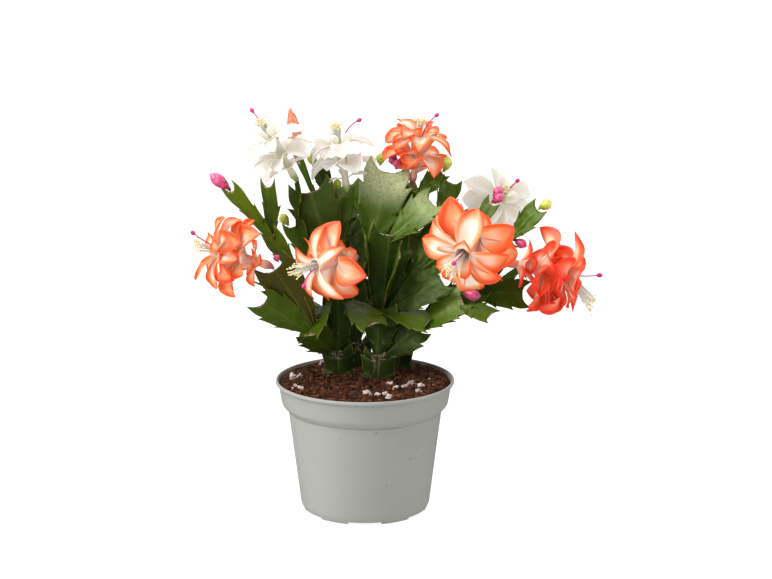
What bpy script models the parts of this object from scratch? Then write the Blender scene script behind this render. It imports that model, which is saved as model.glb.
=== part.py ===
"""Potted christmas cactus: a grey nursery pot, its soil, four rooted cuttings of flat jointed
segments, and the blooms and buds that they carry. Lengths are in millimetres until a mesh is made."""

import math
import random

import bmesh
import bpy
import numpy as np

MM = 0.001
EAST, NORTH = np.array([1, 0, 0]), np.array([0, 1, 0])
SEAT_GAP = .45
SOLVER = "MANIFOLD"

# Pot: outer and inner profile, radius and height, from the lip down the outside and back up the inside.
POT_OUTSIDE = [(57.7, 90), (59.5, 90), (60, 89.2), (60, 88.2), (58.2, 87.2), (55.9, 74.4), (52, 69.6),
               (43.5, 5), (40.6, 0), (37.6, 0), (36.6, 2.8), (9.4, 2.8), (8.4, 0), (0, 0)]
POT_INSIDE = [(0, 4.2), (41.9, 4.4), (50.7, 70.1), (54.6, 75), (56.5, 86.8)]
POT_STEPS = 30
FOOT_NOTCHES, FOOT_RING, NOTCH_REACH, NOTCH_WIDTH, NOTCH_HEIGHT = 6, 39.5, 12, 22, 1.7
DRAIN_HOLES, DRAIN_RADIUS, DRAIN_RING = 6, 3.2, 27

# Soil: filled to just under the lip, with a low mound and plain holes for the stems.
SOIL_RINGS = [(1.5, 4.8), (41.2, 4.8), (50, 70.6), (53.8, 75.4), (56.2, 88.2), (47, 88.8), (37, 89.2),
              (26, 89.4), (15, 89.6), (4, 89.6)]
SOIL_SIDES, SOIL_TOP, CRUMB_RINGS = 24, 89.4, 5
SOIL_SHIFT, SOIL_LIFT = 1.2, .8
# Half width, half depth and depth of the hole round each trunk.
STEM_HOLE = (13.6, 5.7, 18)

# Outline of a segment: station along it and half width. A short step back after each tooth.
TOOTHED = [(0, .18), (.24, .62), (.44, .96), (.48, .78), (.72, 1.03), (.76, .78), (1, .72)]
PLAIN = [(0, .2), (.36, .82), (.56, 1), (.6, .8), (1, .74)]
TRUNK = [(0, .6), (.5, .95), (.56, .8), (.84, .95), (1, .66)]
HORN, CUP = .11, .12
EDGE, RIB, OLD_RIB, TRUNK_RIB = .9, 2.8, 5, 7
NARROW = 24
# A new segment is rooted a little below its carrier's tip, in the middle or this far to one side.
ROOT_STATION, TIP_WIDTH, SIDE = .93, .7, .45

# Cuttings. Each row: name, what it grows from (a root in mm, or a segment, < or > for its side),
# turn round the upright axis, rise above level and roll in degrees, length, width, and droop in degrees.
LEFT = [
    ("L0", (-18, 14, 72), 90, 88, 0, 36, 24, 0),
    ("L1", "L0", 95, 84, 0, 42, 24, 0),
    ("L2", "L0>", 225, 42, 60, 32, 25, 10),
    ("L3", "L2", 188, 36, 66, 42, 27, 5),
    ("L4", "L2>", 195, 57, 80, 54, 31, 0),
    ("L9", "L2>", 140, 66, 35, 43, 24, 0),
    ("L10", "L9", 178, 56, 60, 35, 18, 0),
    ("L15", "L10", 190, 51, 40, 46, 18, 0),
    ("L16", "L10", 150, 84, 70, 38, 20, 0),
    ("L11", "L1>", 235, -20, 20, 36, 26, 30),
    ("L12", "L1>", 160, 57, 50, 31, 22, 0),
    ("L17", "L12", 170, 64, 70, 31, 20, 0),
    ("L18", "L17>", 180, 88, 10, 33, 18, 0),
    ("L6", "L1", 130, 80, 20, 28, 24, 0),
    ("L7", "L6", 180, 73, 86, 56, 36, 0),
    ("L8", "L6", 95, 64, 20, 46, 26, 0),
    ("L19", "L8", 170, 72, 50, 30, 20, 0),
    ("L20", "L6>", 62, 72, 40, 50, 20, 0),
    ("L13", "L1", -44, 60, 85, 38, 22, 0),
    ("L14", "L1<", -58, -6, 10, 38, 24, 25),
]
RIGHT = [
    ("R0", (9, 4, 72), 90, 86, 0, 36, 25, 0),
    ("R1", "R0", 60, 82, 0, 36, 30, 0),
    ("R2", "R0<", -10, 44, 75, 32, 26, 10),
    ("R6", "R1>", 140, 84, 20, 48, 24, 0),
    ("R7", "R6", 58, 66, 28, 57, 36, 0),
    ("R5", "R1", 20, 84, 72, 56, 32, 0),
    ("R8", "R5", 5, 43, 38, 41, 28, 5),
    ("R4", "R1", -50, 66, 45, 48, 22, 0),
    ("R3", "R1", -30, 0, 20, 36, 24, 20),
    ("R9", "R1<", 15, 56, 50, 40, 24, 0),
    ("R10", "R9", 5, 58, 55, 41, 24, 0),
    ("R11", "R10>", 50, 62, 60, 28, 18, 0),
    ("R12", "R9>", 13, 20, 50, 50, 22, 0),
    ("R25", "R9<", -14, 37, 100, 58, 16, 0),
    ("R13", "R12>", -10, 55, 60, 28, 14, 0),
    ("R14", "R12<", 0, 5, 40, 28, 18, 0),
    ("R15", "R14", 0, 48, 50, 30, 18, 0),
    ("R16", "R2", -15, 36, 50, 42, 25, 5),
    ("R17", "R16<", -40, -4, 25, 26, 18, 5),
    ("R18", "R1<", -8, 32, 60, 46, 26, 0),
    ("R19", "R2", 8, 34, 55, 52, 26, 0),
    ("R20", "R19", -5, 0, 60, 38, 24, 10),
    ("R21", "R19", -30, 45, 50, 33, 20, 0),
    ("R22", "R1", 72, 68, 20, 52, 26, 0),
    ("R23", "R22", 22, 64, 60, 43, 20, 0),
    ("R24", "R23<", -14, 44, 55, 26, 18, 0),
]
BACK_LEFT = [
    ("B0", (-5, 33, 72), 110, 84, 0, 36, 24, 0),
    ("B1", "B0", 110, 76, 0, 42, 24, 0),
    ("B2", "B1", 140, 68, 30, 46, 28, 5),
    ("B3", "B2", 156, 63, 40, 60, 22, 0),
    ("B4", "B1", 100, 60, 10, 48, 30, 10),
    ("B5", "B4", 95, 55, 0, 42, 28, 10),
    ("B11", "B1", 50, 64, 20, 54, 30, 5),
    ("B10", "B0>", 60, 60, 10, 52, 30, 5),
    ("B6", "B0", 150, 40, 20, 44, 28, 10),
    ("B7", "B6", 160, 25, 20, 44, 28, 15),
    ("B9", "B2", 110, 74, 30, 36, 24, 0),
]
BACK_RIGHT = [
    ("E0", (22, 30, 72), 70, 84, 0, 36, 24, 0),
    ("E1", "E0", 65, 74, 0, 44, 26, 0),
    ("E2", "E1", 45, 58, -20, 46, 28, 5),
    ("E3", "E2", 33, 12, 65, 46, 24, 0),
    ("E4", "E1", 80, 62, 0, 46, 30, 5),
    ("E5", "E4", 85, 50, 0, 42, 26, 10),
    ("E6", "E0", 30, 38, -10, 46, 28, 10),
    ("E7", "E6", 25, 22, -10, 46, 28, 15),
    ("E9", "E7", 10, 35, -30, 36, 24, 10),
    ("E10", "E4", 110, 62, 0, 40, 26, 5),
]
CUTTINGS = [("left_cutting", LEFT), ("right_cutting", RIGHT), ("back_left_cutting", BACK_LEFT),
            ("back_right_cutting", BACK_RIGHT)]

# Blooms: name, carrier, turn, rise and spin in degrees, size, colour, and the style's sweep (turn, amount).
BLOOMS = [
    ("bloom_white_left", "L18", 190, 61, 170, .9, "white", (70, 15)),
    ("bloom_white_middle", "L20<", 190, 82, 65, .89, "white", (100, 30)),
    ("bloom_orange_top", "R23>", -44, 78, 295, .9, "orange", (120, 18)),
    ("bloom_orange_left", "L4", 192, 20, 175, 1.01, "orange", (230, 15)),
    ("bloom_orange_front", "L13", 222, -1, 30, 1.01, "orange", (150, 20)),
    ("bloom_orange_right", "R25", 244, -18, 65, 1.17, "orange", (100, 10)),
    ("bloom_red_right", "R21", 1, -14, 90, 1.15, "red", (170, 17)),
    ("bloom_white_right", "E3", 291, 36, 80, .95, "white", (160, 0)),
]
# Buds: name, carrier, turn, rise, length, width and colour.
BUDS = [
    ("bud_pink_far_left", "L15", 165, 35, 16, 8, "pink"),
    ("bud_pink_top_a", "R7<", 198, 72, 15, 8, "pink"),
    ("bud_green_top", "R7>", 80, 72, 8, 6, "green"),
    ("bud_green_right_top", "R24", 0, 74, 10, 7, "green"),
    ("bud_pink_right_a", "R10<", -20, 60, 12, 7, "pink"),
    ("bud_pink_right_b", "R13", 20, 60, 12, 7, "pink"),
    ("bud_green_far_right", "R15", 0, 25, 9, 7, "green"),
    ("bud_pink_right_c", "R14", -10, -30, 9, 6, "pink"),
    ("bud_pink_right_d", "R21>", 40, 30, 10, 6, "pink"),
    ("bud_pink_low_right", "R16>", -22, -4, 12, 7, "pink"),
    ("bud_green_left", "L17<", 190, 55, 9, 6, "green"),
    ("bud_green_left_top", "L19<", 175, 60, 9, 6, "green"),
    ("bud_green_middle", "L20>", 120, 76, 7, 5, "green"),
    ("bud_pink_tiny_left", "L4>", 190, 66, 5, 4, "pink"),
]
CLOSED_BLOOM = ("bloom_orange_closed", "B3", 190, 82, 38, 10)

# Bloom at size 1: height and radius up its tube, which opens at the mouth.
MOUTH = 38
BLOOM_BODY = [(0, .9), (3, 2.8), (7, 2.8), (10, 2.4), (34, 4.3), (MOUTH, 4.7)]
BLOOM_FOOT, BLOOM_NECK, TUBE_SIDES = 2.6, .9, 7
# Whorls: count, height up the tube, radius there, lean and curl in degrees, length, width, cup and columns.
WHORLS = [(3, 10, 1.6, 45, 60, 17, 11, 0, 1), (4, 20, 2.3, 45, 88, 29, 17, .15, 2),
          (5, 35.5, 3.4, 48, 95, 26, 13, 0, 1)]
TEPAL = [(0, .28), (.35, .85), (.7, 1), (1, .22)]
TEPAL_STEPS, CURL_HASTE = 12, .7
# Stamens: height and radius of the bundle's core, and reach, height and radius of each loose filament.
STAMEN_CORE = [(0, 1.5), (8, 1.3), (16, .5)]
FILAMENT = [(0, 4, .5), (3.4, 14, .4), (4, 15.5, .8), (4.6, 17, .5)]
FILAMENTS, STAMENS_ASIDE = 4, 1.1
# Style: how far each station is from the last, and its radius. The last two make the stigma.
STYLE = [(0, .75), (7, .6), (8, .6), (8, .6), (1.4, 1.4), (1.5, .9)]
STYLE_ASIDE = 2.2
# Bud of length 1: height up it, and radius as a share of its width.
BUD = [(0, .1), (.16, .32), (.28, .34), (.45, .5), (.75, .44), (1, .1)]
BUD_FOOT, BUD_NECK, CLOSED_FOOT = .34, .8, 1
CLOSED = [(0, .1), (.1, .26), (.2, .24), (.34, .45), (.6, .48), (.85, .26), (1, .07)]

COLOURS = {
    "pot": (.52, .52, .5), "soil": (.05, .022, .014), "leaf": (.06, .16, .02), "white": (.88, .85, .78),
    "orange": (.85, .22, .08), "red": (.8, .1, .04), "stamens": (.85, .8, .6), "style": (.6, .01, .16),
    "pink": (.72, .06, .16), "green": (.5, .58, .1),
}


def clear_scene():
    for obj in list(bpy.data.objects):
        bpy.data.objects.remove(obj)
    for collection in list(bpy.data.collections):
        bpy.data.collections.remove(collection)


def collection_for(name, hidden=False):
    collection = bpy.data.collections.new(name)
    bpy.context.scene.collection.children.link(collection)
    collection.hide_render = hidden
    return collection


def material(name, colour):
    made = bpy.data.materials.new(name)
    made.use_nodes = True
    shader = made.node_tree.nodes["Principled BSDF"]
    shader.inputs["Base Color"].default_value = (*colour, 1)
    shader.inputs["Roughness"].default_value = .5
    return made


def body_from(name, mesh_builder, smooth=True):
    """The object of a bmesh whose points are in millimetres."""
    mesh_builder.normal_update()
    bmesh.ops.recalc_face_normals(mesh_builder, faces=mesh_builder.faces)
    for point in mesh_builder.verts:
        point.co = point.co * MM
    mesh = bpy.data.meshes.new(name)
    mesh_builder.to_mesh(mesh)
    mesh_builder.free()
    for face in mesh.polygons:
        face.use_smooth = smooth
    obj = bpy.data.objects.new(name, mesh)
    PARTS.objects.link(obj)
    return obj


def plate(name, rows, columns, place):
    """A closed blade: a grid of triangles, doubled, with every point put by place(row, across, side)."""
    blade = bmesh.new()
    bmesh.ops.create_grid(blade, x_segments=columns, y_segments=rows, size=.5)
    bmesh.ops.triangulate(blade, faces=blade.faces[:], quad_method="FIXED")
    sheet = blade.verts[:] + blade.edges[:] + blade.faces[:]
    doubled = bmesh.ops.extrude_face_region(blade, geom=sheet, use_keep_orig=True)
    upper = {item for item in doubled["geom"] if isinstance(item, bmesh.types.BMVert)}
    for point in blade.verts:
        row, across = round((point.co.y + .5) * rows), 2 * point.co.x
        point.co = place(row, across, 1 if point in upper else -1)
    return body_from(name, blade)


def round_body(name, sides, count, place):
    """A closed round body: rings of points, each put by place(ring, turn)."""
    body = bmesh.new()
    bmesh.ops.create_cone(body, cap_ends=True, segments=sides, radius1=1, radius2=1, depth=count - 1)
    upright = [edge for edge in body.edges if abs(edge.verts[0].co.z - edge.verts[1].co.z) > .5]
    if count > 2:
        bmesh.ops.subdivide_edges(body, edges=upright, cuts=count - 2, use_grid_fill=True)
    for point in body.verts:
        ring, turn = round(point.co.z + (count - 1) / 2), math.atan2(point.co.y, point.co.x)
        point.co = place(ring, turn)
    return body_from(name, body)


def joined(name, bodies, colour):
    """One body from many by a single Boolean union, with the others removed."""
    first, others = bodies[0], bodies[1:]
    first.name = name
    if others:
        helpers = collection_for(name + "_joining", hidden=True)
        for obj in others:
            PARTS.objects.unlink(obj)
            helpers.objects.link(obj)
        union = first.modifiers.new("Union", "BOOLEAN")
        union.operation, union.solver = "UNION", SOLVER
        union.operand_type, union.collection = "COLLECTION", helpers
        bpy.context.view_layer.objects.active = first
        bpy.ops.object.modifier_apply(modifier="Union")
        for obj in others:
            bpy.data.objects.remove(obj)
        bpy.data.collections.remove(helpers)
    keep_largest(first)
    first.data.materials.clear()
    first.data.materials.append(material(name + "_material", COLOURS[colour]))


def keep_largest(obj):
    """Drops loose scraps, and fills sealed hollows, by keeping only the connected surface that spans most."""
    shell = bmesh.new()
    shell.from_mesh(obj.data)
    left, pieces = set(shell.verts), []
    while left:
        piece, edge = set(), {left.pop()}
        while edge:
            piece |= edge
            edge = {link.other_vert(point) for point in edge for link in point.link_edges} - piece
        left -= piece
        pieces.append(piece)
    pieces.sort(key=len)
    if len(pieces) > 1:
        bmesh.ops.delete(shell, geom=[point for piece in pieces[:-1] for point in piece], context="VERTS")
        shell.to_mesh(obj.data)
    shell.free()


def axes(turn, rise, roll):
    """Along, across and upper-side directions of a segment or a bloom."""
    a, b, c = map(math.radians, (turn, rise, roll))
    along = np.array([math.cos(b) * math.cos(a), math.cos(b) * math.sin(a), math.sin(b)])
    level = np.array([-math.sin(a), math.cos(a), 0])
    raised = np.cross(along, level)
    return along, math.cos(c) * level + math.sin(c) * raised, math.cos(c) * raised - math.sin(c) * level


class Segment:
    """Where a flat segment stands, and the place of any point of it."""

    def __init__(self, base, turn, rise, roll, length, width, droop):
        self.base, self.length, self.width = np.array(base, float), length, width
        self.along, self.across, self.upper = axes(turn, rise, roll)
        self.droop = math.radians(droop) or 1e-6

    def point(self, station, half_width, across, height=0):
        x = across * half_width * self.width / 2
        y = self.length * station * (.93 + HORN * abs(across) ** 1.5)
        angle = self.droop * y / self.length
        radius = self.length / self.droop
        out, down = radius * math.sin(angle), radius * (1 - math.cos(angle))
        normal = self.upper * math.cos(angle) + self.along * math.sin(angle)
        middle = self.base + out * self.along - down * self.upper
        return middle + x * self.across + (CUP * abs(x) + height) * normal


def grow(rows, placed):
    """Puts each row's segment in place, from its root or its carrier's tip. Returns the new ones in order."""
    new = []
    for name, source, *shape in rows:
        base = carrier_tip(source, placed) if isinstance(source, str) else source
        placed[name] = Segment(base, *shape)
        new.append((name, placed[name]))
    return new


def side_of(source):
    return {"<": -SIDE, ">": SIDE}.get(source[-1], 0)


def carrier_tip(source, placed):
    return placed[source.rstrip("<>")].point(ROOT_STATION, TIP_WIDTH, side_of(source))


def segment_body(name, segment, outline, rib):
    def place(row, across, side):
        station, half_width = outline[row]
        thick = EDGE + (rib - EDGE) * (1 - abs(across))
        return segment.point(station, half_width, across, side * thick / 2)

    return plate(name, len(outline) - 1, 2, place)


def make_cutting(name, rows, placed):
    """One cutting: its first segment is a woody trunk, and the second is thicker than the rest."""
    bodies = []
    for label, segment in grow(rows, placed):
        shape = PLAIN if "back" in name or segment.width < NARROW else TOOTHED
        outline, rib = {"0": (TRUNK, TRUNK_RIB), "1": (PLAIN, OLD_RIB)}.get(label[1:], (shape, RIB))
        bodies.append(segment_body(label, segment, outline, rib))
    joined(name, bodies, "leaf")


def seat(source, placed, direction, foot):
    """Where a disc of this radius, facing the direction, stands just clear of its carrier's sloping tip."""
    carrier, across = placed[source.rstrip("<>")], side_of(source)
    middle, lifts = carrier.point(1, TIP_WIDTH, 0), []
    for side in [math.copysign(1, across)] if across else [-1, 1]:
        edge = carrier.point(1, TIP_WIDTH, side) - middle
        edge /= np.linalg.norm(edge)
        rise = float(np.dot(carrier.along, edge))
        outward = (carrier.along - rise * edge) / math.sqrt(1 - rise ** 2)
        lean = math.sqrt(1 - float(np.dot(outward, direction)) ** 2)
        lifts.append((SEAT_GAP + foot * lean) / math.sqrt(1 - rise ** 2))
    tip = middle + abs(across) * (carrier.point(1, TIP_WIDTH, math.copysign(1, across)) - middle)
    return tip + max(lifts) * carrier.along


def stalked(source, placed, direction, foot, neck, shape):
    """Centres and radii of a body on its seat. A slim neck leads from the tip to the wider foot."""
    base = seat(source, placed, direction, foot)
    stations = [(base + height * direction, radius) for height, radius in shape]
    return [(seat(source, placed, direction, neck), neck)] + stations[1:]


def framed(stations, across, upper):
    """The same rings' directions for every (centre, radius) station."""
    return [(centre, radius, across, upper) for centre, radius in stations]


def rod(name, sides, stations):
    """A round body along a line of (centre, radius, across, upper) stations."""
    def place(ring, turn):
        centre, radius, across, upper = stations[ring]
        return centre + radius * (math.cos(turn) * across + math.sin(turn) * upper)

    return round_body(name, sides, len(stations), place)


def tepal(name, root, axis, radial, size, lean, curl, length, width, cup, columns):
    """A petal-like blade that leaves the tube at its root and curls outwards."""
    tangent = np.cross(axis, radial)
    centre, rows = np.array(root, float), []
    for step in range(TEPAL_STEPS + 1):
        angle = math.radians(lean + curl * (step / TEPAL_STEPS) ** CURL_HASTE)
        along = math.cos(angle) * axis + math.sin(angle) * radial
        rows.append((centre, math.sin(angle) * axis - math.cos(angle) * radial))
        centre = centre + along * length * size / TEPAL_STEPS

    def place(row, across, side):
        station, half_width = TEPAL[row]
        middle, inner = rows[round(station * TEPAL_STEPS)]
        thick = 1 - .2 * abs(across)
        x = across * half_width * width * size / 2
        return middle + x * tangent + (cup * abs(x) + side * thick / 2) * inner

    return plate(name, len(TEPAL) - 1, columns, place)


def make_bloom(name, source, turn, rise, spin, size, colour, sweep, placed):
    """A bloom facing along its tube and spun about it, with its stamens and a style that sweeps aside."""
    along, across, upper = axes(turn, rise, spin)
    base = seat(source, placed, along, BLOOM_FOOT * size)
    shape = [(height * size, radius * size) for height, radius in BLOOM_BODY]
    stations = stalked(source, placed, along, BLOOM_FOOT * size, BLOOM_NECK * size, shape)
    bodies, wobble = [rod(name, TUBE_SIDES, framed(stations, across, upper))], random.Random(name)
    for tier, (count, height, radius, lean, curl, length, *shape) in enumerate(WHORLS):
        for i in range(count):
            angle = math.tau * (i + .5 * tier) / count + math.radians(wobble.uniform(-8, 8))
            radial = math.cos(angle) * across + math.sin(angle) * upper
            root = base + (height + wobble.uniform(-1, 1)) * size * along + radius * size * radial
            bend = lean + wobble.uniform(-8, 8), curl + wobble.uniform(-12, 12)
            reach = length * wobble.uniform(.92, 1.06)
            bodies.append(tepal(f"{name}_{tier}_{i}", root, along, radial, size, *bend, reach, *shape))
    joined(name, bodies, colour)
    mouth = base + (MOUTH * size + SEAT_GAP) * along
    turn, amount = map(math.radians, sweep)
    aside = math.cos(turn) * upper + math.sin(turn) * across
    make_stamens(name + "_stamens", mouth - STAMENS_ASIDE * size * aside, along, across, upper, size, wobble)
    make_style(name + "_style", mouth + STYLE_ASIDE * size * aside, along, aside, size, amount)


def make_stamens(name, foot, along, across, upper, size, wobble):
    core = [(foot + height * size * along, radius) for height, radius in STAMEN_CORE]
    bodies = [rod(name, 6, framed(core, across, upper))]
    for i in range(FILAMENTS):
        angle = math.tau * (i + .5) / FILAMENTS + wobble.uniform(-.2, .2)
        out = math.cos(angle) * across + math.sin(angle) * upper
        tall = wobble.uniform(.8, 1.1)
        line = [(foot + (height * tall * along + reach * out) * size, radius)
                for reach, height, radius in FILAMENT]
        bodies.append(rod(f"{name}_{i}", 3, framed(line, np.cross(along, out), out)))
    joined(name, bodies, "stamens")


def make_style(name, foot, along, aside, size, amount):
    centre, stations = np.array(foot, float), []
    for i, (length, radius) in enumerate(STYLE):
        angle = .12 + amount * min(i, 3) / 1.5
        direction = math.cos(angle) * along + math.sin(angle) * aside
        centre = centre + direction * length * size
        normal = math.cos(angle) * aside - math.sin(angle) * along
        stations.append((centre, radius, np.cross(direction, normal), normal))
    joined(name, [rod(name, 4, stations)], "style")


def make_bud(name, source, turn, rise, length, width, colour, placed):
    along, across, upper = axes(turn, rise, 0)
    shape = [(height * length, radius * width) for height, radius in BUD]
    stations = stalked(source, placed, along, BUD_FOOT * width, BUD_NECK, shape)
    joined(name, [rod(name, 6, framed(stations, across, upper))], colour)


def make_closed_bloom(name, source, turn, rise, length, width, placed):
    along, across, upper = axes(turn, rise, 0)
    shape = [(height * length, radius * width) for height, radius in CLOSED]
    stations = stalked(source, placed, along, CLOSED_FOOT, BLOOM_NECK, shape)
    joined(name, [rod(name, TUBE_SIDES, framed(stations, across, upper))], "orange")


def make_pot():
    """The pot's wall, floor and foot ring in one turned body, with foot notches and drain holes."""
    pot = turned("pot", POT_INSIDE + POT_OUTSIDE)
    cutters = collection_for("pot_cutters", hidden=True)
    for i in range(FOOT_NOTCHES):
        angle = -math.pi / 2 + math.tau * i / FOOT_NOTCHES
        notch = box("notch", (NOTCH_REACH, NOTCH_WIDTH, 2 * NOTCH_HEIGHT), (FOOT_RING, 0, 0), angle)
        move_to(notch, cutters)
    for i in range(DRAIN_HOLES):
        angle = math.tau * (i + .5) / DRAIN_HOLES
        centre = DRAIN_RING * np.array([math.cos(angle), math.sin(angle), 0])
        ends = [(centre + (0, 0, height), DRAIN_RADIUS) for height in (1, 6)]
        move_to(rod("drain", 6, framed(ends, EAST, NORTH)), cutters)
    cut_with(pot, cutters)
    smooth_by_angle(pot)
    pot.data.materials.append(material("pot_material", COLOURS["pot"]))


def turned(name, points):
    """A solid of revolution. Its profile runs from the axis up the inside and down the outside."""
    profile = bmesh.new()
    corners = [profile.verts.new((radius * MM, 0, height * MM)) for radius, height in points]
    for pair in zip(corners, corners[1:]):
        profile.edges.new(pair)
    mesh = bpy.data.meshes.new(name)
    profile.to_mesh(mesh)
    profile.free()
    obj = bpy.data.objects.new(name, mesh)
    PARTS.objects.link(obj)
    screw = obj.modifiers.new("Turned", "SCREW")
    screw.steps = screw.render_steps = POT_STEPS
    screw.use_merge_vertices, screw.merge_threshold = True, .0001
    bpy.context.view_layer.objects.active = obj
    bpy.ops.object.modifier_apply(modifier="Turned")
    return obj


def box(name, size, centre, angle):
    made = bmesh.new()
    bmesh.ops.create_cube(made, size=1)
    for point in made.verts:
        x, y, z = (point.co[i] * size[i] + centre[i] for i in range(3))
        point.co = (x * math.cos(angle) - y * math.sin(angle), x * math.sin(angle) + y * math.cos(angle), z)
    return body_from(name, made, smooth=False)


def move_to(obj, collection):
    PARTS.objects.unlink(obj)
    collection.objects.link(obj)


def cut_with(target, cutters):
    cut = target.modifiers.new("Cut", "BOOLEAN")
    cut.operation, cut.solver, cut.operand_type, cut.collection = "DIFFERENCE", SOLVER, "COLLECTION", cutters
    bpy.context.view_layer.objects.active = target
    bpy.ops.object.modifier_apply(modifier="Cut")
    for obj in list(cutters.objects):
        bpy.data.objects.remove(obj)
    bpy.data.collections.remove(cutters)


def smooth_by_angle(obj, degrees=35):
    for face in obj.data.polygons:
        face.use_smooth = True
    obj.data.set_sharp_from_angle(angle=math.radians(degrees))


def make_soil():
    crumbs = random.Random(11)

    def place(ring, turn):
        radius, height = SOIL_RINGS[ring]
        if ring >= CRUMB_RINGS:
            height += SOIL_LIFT * crumbs.uniform(-1, 1)
            radius += SOIL_SHIFT * crumbs.uniform(-1, 1)
        return np.array([radius * math.cos(turn), radius * math.sin(turn), height])

    soil = round_body("soil", SOIL_SIDES, len(SOIL_RINGS), place)
    holes = collection_for("soil_cutters", hidden=True)
    half_width, half_depth, depth = STEM_HOLE
    for name, rows in CUTTINGS:
        (x, y, z), turn = rows[0][1:3]
        along, across, upper = axes(turn, 90, 0)
        ends = [(np.array([x, y, height]), 1) for height in (SOIL_TOP - depth, SOIL_TOP + 5)]
        move_to(rod("hole", 12, framed(ends, half_width * across, half_depth * upper)), holes)
    cut_with(soil, holes)
    smooth_by_angle(soil, 50)
    soil.data.materials.append(material("soil_material", COLOURS["soil"]))


clear_scene()
PARTS = collection_for("PottedChristmasCactus")
make_pot()
make_soil()
SEGMENTS = {}
for cutting, cutting_rows in CUTTINGS:
    make_cutting(cutting, cutting_rows, SEGMENTS)
for bloom in BLOOMS:
    make_bloom(*bloom, SEGMENTS)
for bud in BUDS:
    make_bud(*bud, SEGMENTS)
make_closed_bloom(*CLOSED_BLOOM, SEGMENTS)
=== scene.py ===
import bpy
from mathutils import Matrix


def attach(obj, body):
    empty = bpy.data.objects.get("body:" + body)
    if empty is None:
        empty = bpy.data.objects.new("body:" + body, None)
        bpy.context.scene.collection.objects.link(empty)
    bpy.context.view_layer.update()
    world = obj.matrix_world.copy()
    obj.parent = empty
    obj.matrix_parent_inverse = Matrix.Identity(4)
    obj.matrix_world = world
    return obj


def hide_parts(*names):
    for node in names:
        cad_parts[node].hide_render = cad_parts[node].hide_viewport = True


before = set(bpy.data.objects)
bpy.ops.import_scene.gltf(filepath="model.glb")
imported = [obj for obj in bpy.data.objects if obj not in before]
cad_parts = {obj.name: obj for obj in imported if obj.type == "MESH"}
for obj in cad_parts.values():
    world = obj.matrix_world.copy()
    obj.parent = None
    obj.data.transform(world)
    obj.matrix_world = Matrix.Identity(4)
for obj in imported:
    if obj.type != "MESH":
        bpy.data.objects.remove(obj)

"""Potted christmas cactus. The flat toothed segments, the blooms with their stamens, the buds, the crumbly
soil and the turned pot are made here, in millimetres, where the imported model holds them."""

import math
import random

import bpy
import numpy as np
from mathutils import noise

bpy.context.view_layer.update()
MM = .001

# How a segment is laid out. A new one is rooted just below its carrier's tip, in the middle or to one side.
ROOT_STATION, TIP_WIDTH, SIDE = .93, .7, .45
HORN, CUP, HOOK = .11, .12, 1.2
SEAT_GAP = .45
# Teeth of a margin: station of each tip, half width there, and half width of the notch after it.
BROAD = {"foot": .18, "teeth": [(.22, .6, .5), (.45, .99, .77), (.73, 1.04, .78)], "end": .74}
SLIM = {"foot": .2, "teeth": [(.3, .74, .62), (.58, 1.02, .78)], "end": .76}
TRUNK = {"foot": .6, "teeth": [(.52, .97, .8), (.85, .97, .76)], "end": .68}
NARROW = 24
TOOTH_ROWS, TIP_ROWS = 7, 9
TOOTH_HOOK, TIP_HOOK = .045, .06
MARGIN, RIB, OLD_RIB, TRUNK_RIB = .5, 2.6, 5, 7
# Woolly tufts at a tip: the fewest, how far apart, and the share of pink ones. Cork bits on a trunk.
FEWEST_TUFTS, TUFT_SPACING, PINK_SHARE = 9, 1.7, .28
CORK_FLAKES, CORK_STRANDS = 30, 9

# Cuttings. Each row: name, what it grows from (a root in mm, or a segment, < or > for its side),
# turn round the upright axis, rise above level and roll in degrees, length, width, and droop in degrees.
LEFT = [
    ("L0", (-18, 14, 72), 90, 88, 0, 36, 24, 0),
    ("L1", "L0", 95, 84, 0, 42, 24, 0),
    ("L2", "L0>", 225, 42, 60, 32, 25, 10),
    ("L3", "L2", 188, 36, 66, 42, 27, 5),
    ("L4", "L2>", 195, 57, 80, 54, 31, 0),
    ("L9", "L2>", 140, 66, 35, 43, 24, 0),
    ("L10", "L9", 178, 56, 60, 35, 18, 0),
    ("L15", "L10", 190, 51, 40, 46, 18, 0),
    ("L16", "L10", 150, 84, 70, 38, 20, 0),
    ("L11", "L1>", 235, -20, 20, 36, 26, 30),
    ("L12", "L1>", 160, 57, 50, 31, 22, 0),
    ("L17", "L12", 170, 64, 70, 31, 20, 0),
    ("L18", "L17>", 180, 88, 10, 33, 18, 0),
    ("L6", "L1", 130, 80, 20, 28, 24, 0),
    ("L7", "L6", 180, 73, 86, 56, 36, 0),
    ("L8", "L6", 95, 64, 20, 46, 26, 0),
    ("L19", "L8", 170, 72, 50, 30, 20, 0),
    ("L20", "L6>", 62, 72, 40, 50, 20, 0),
    ("L13", "L1", -44, 60, 85, 38, 22, 0),
    ("L14", "L1<", -58, -6, 10, 38, 24, 25),
]
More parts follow.
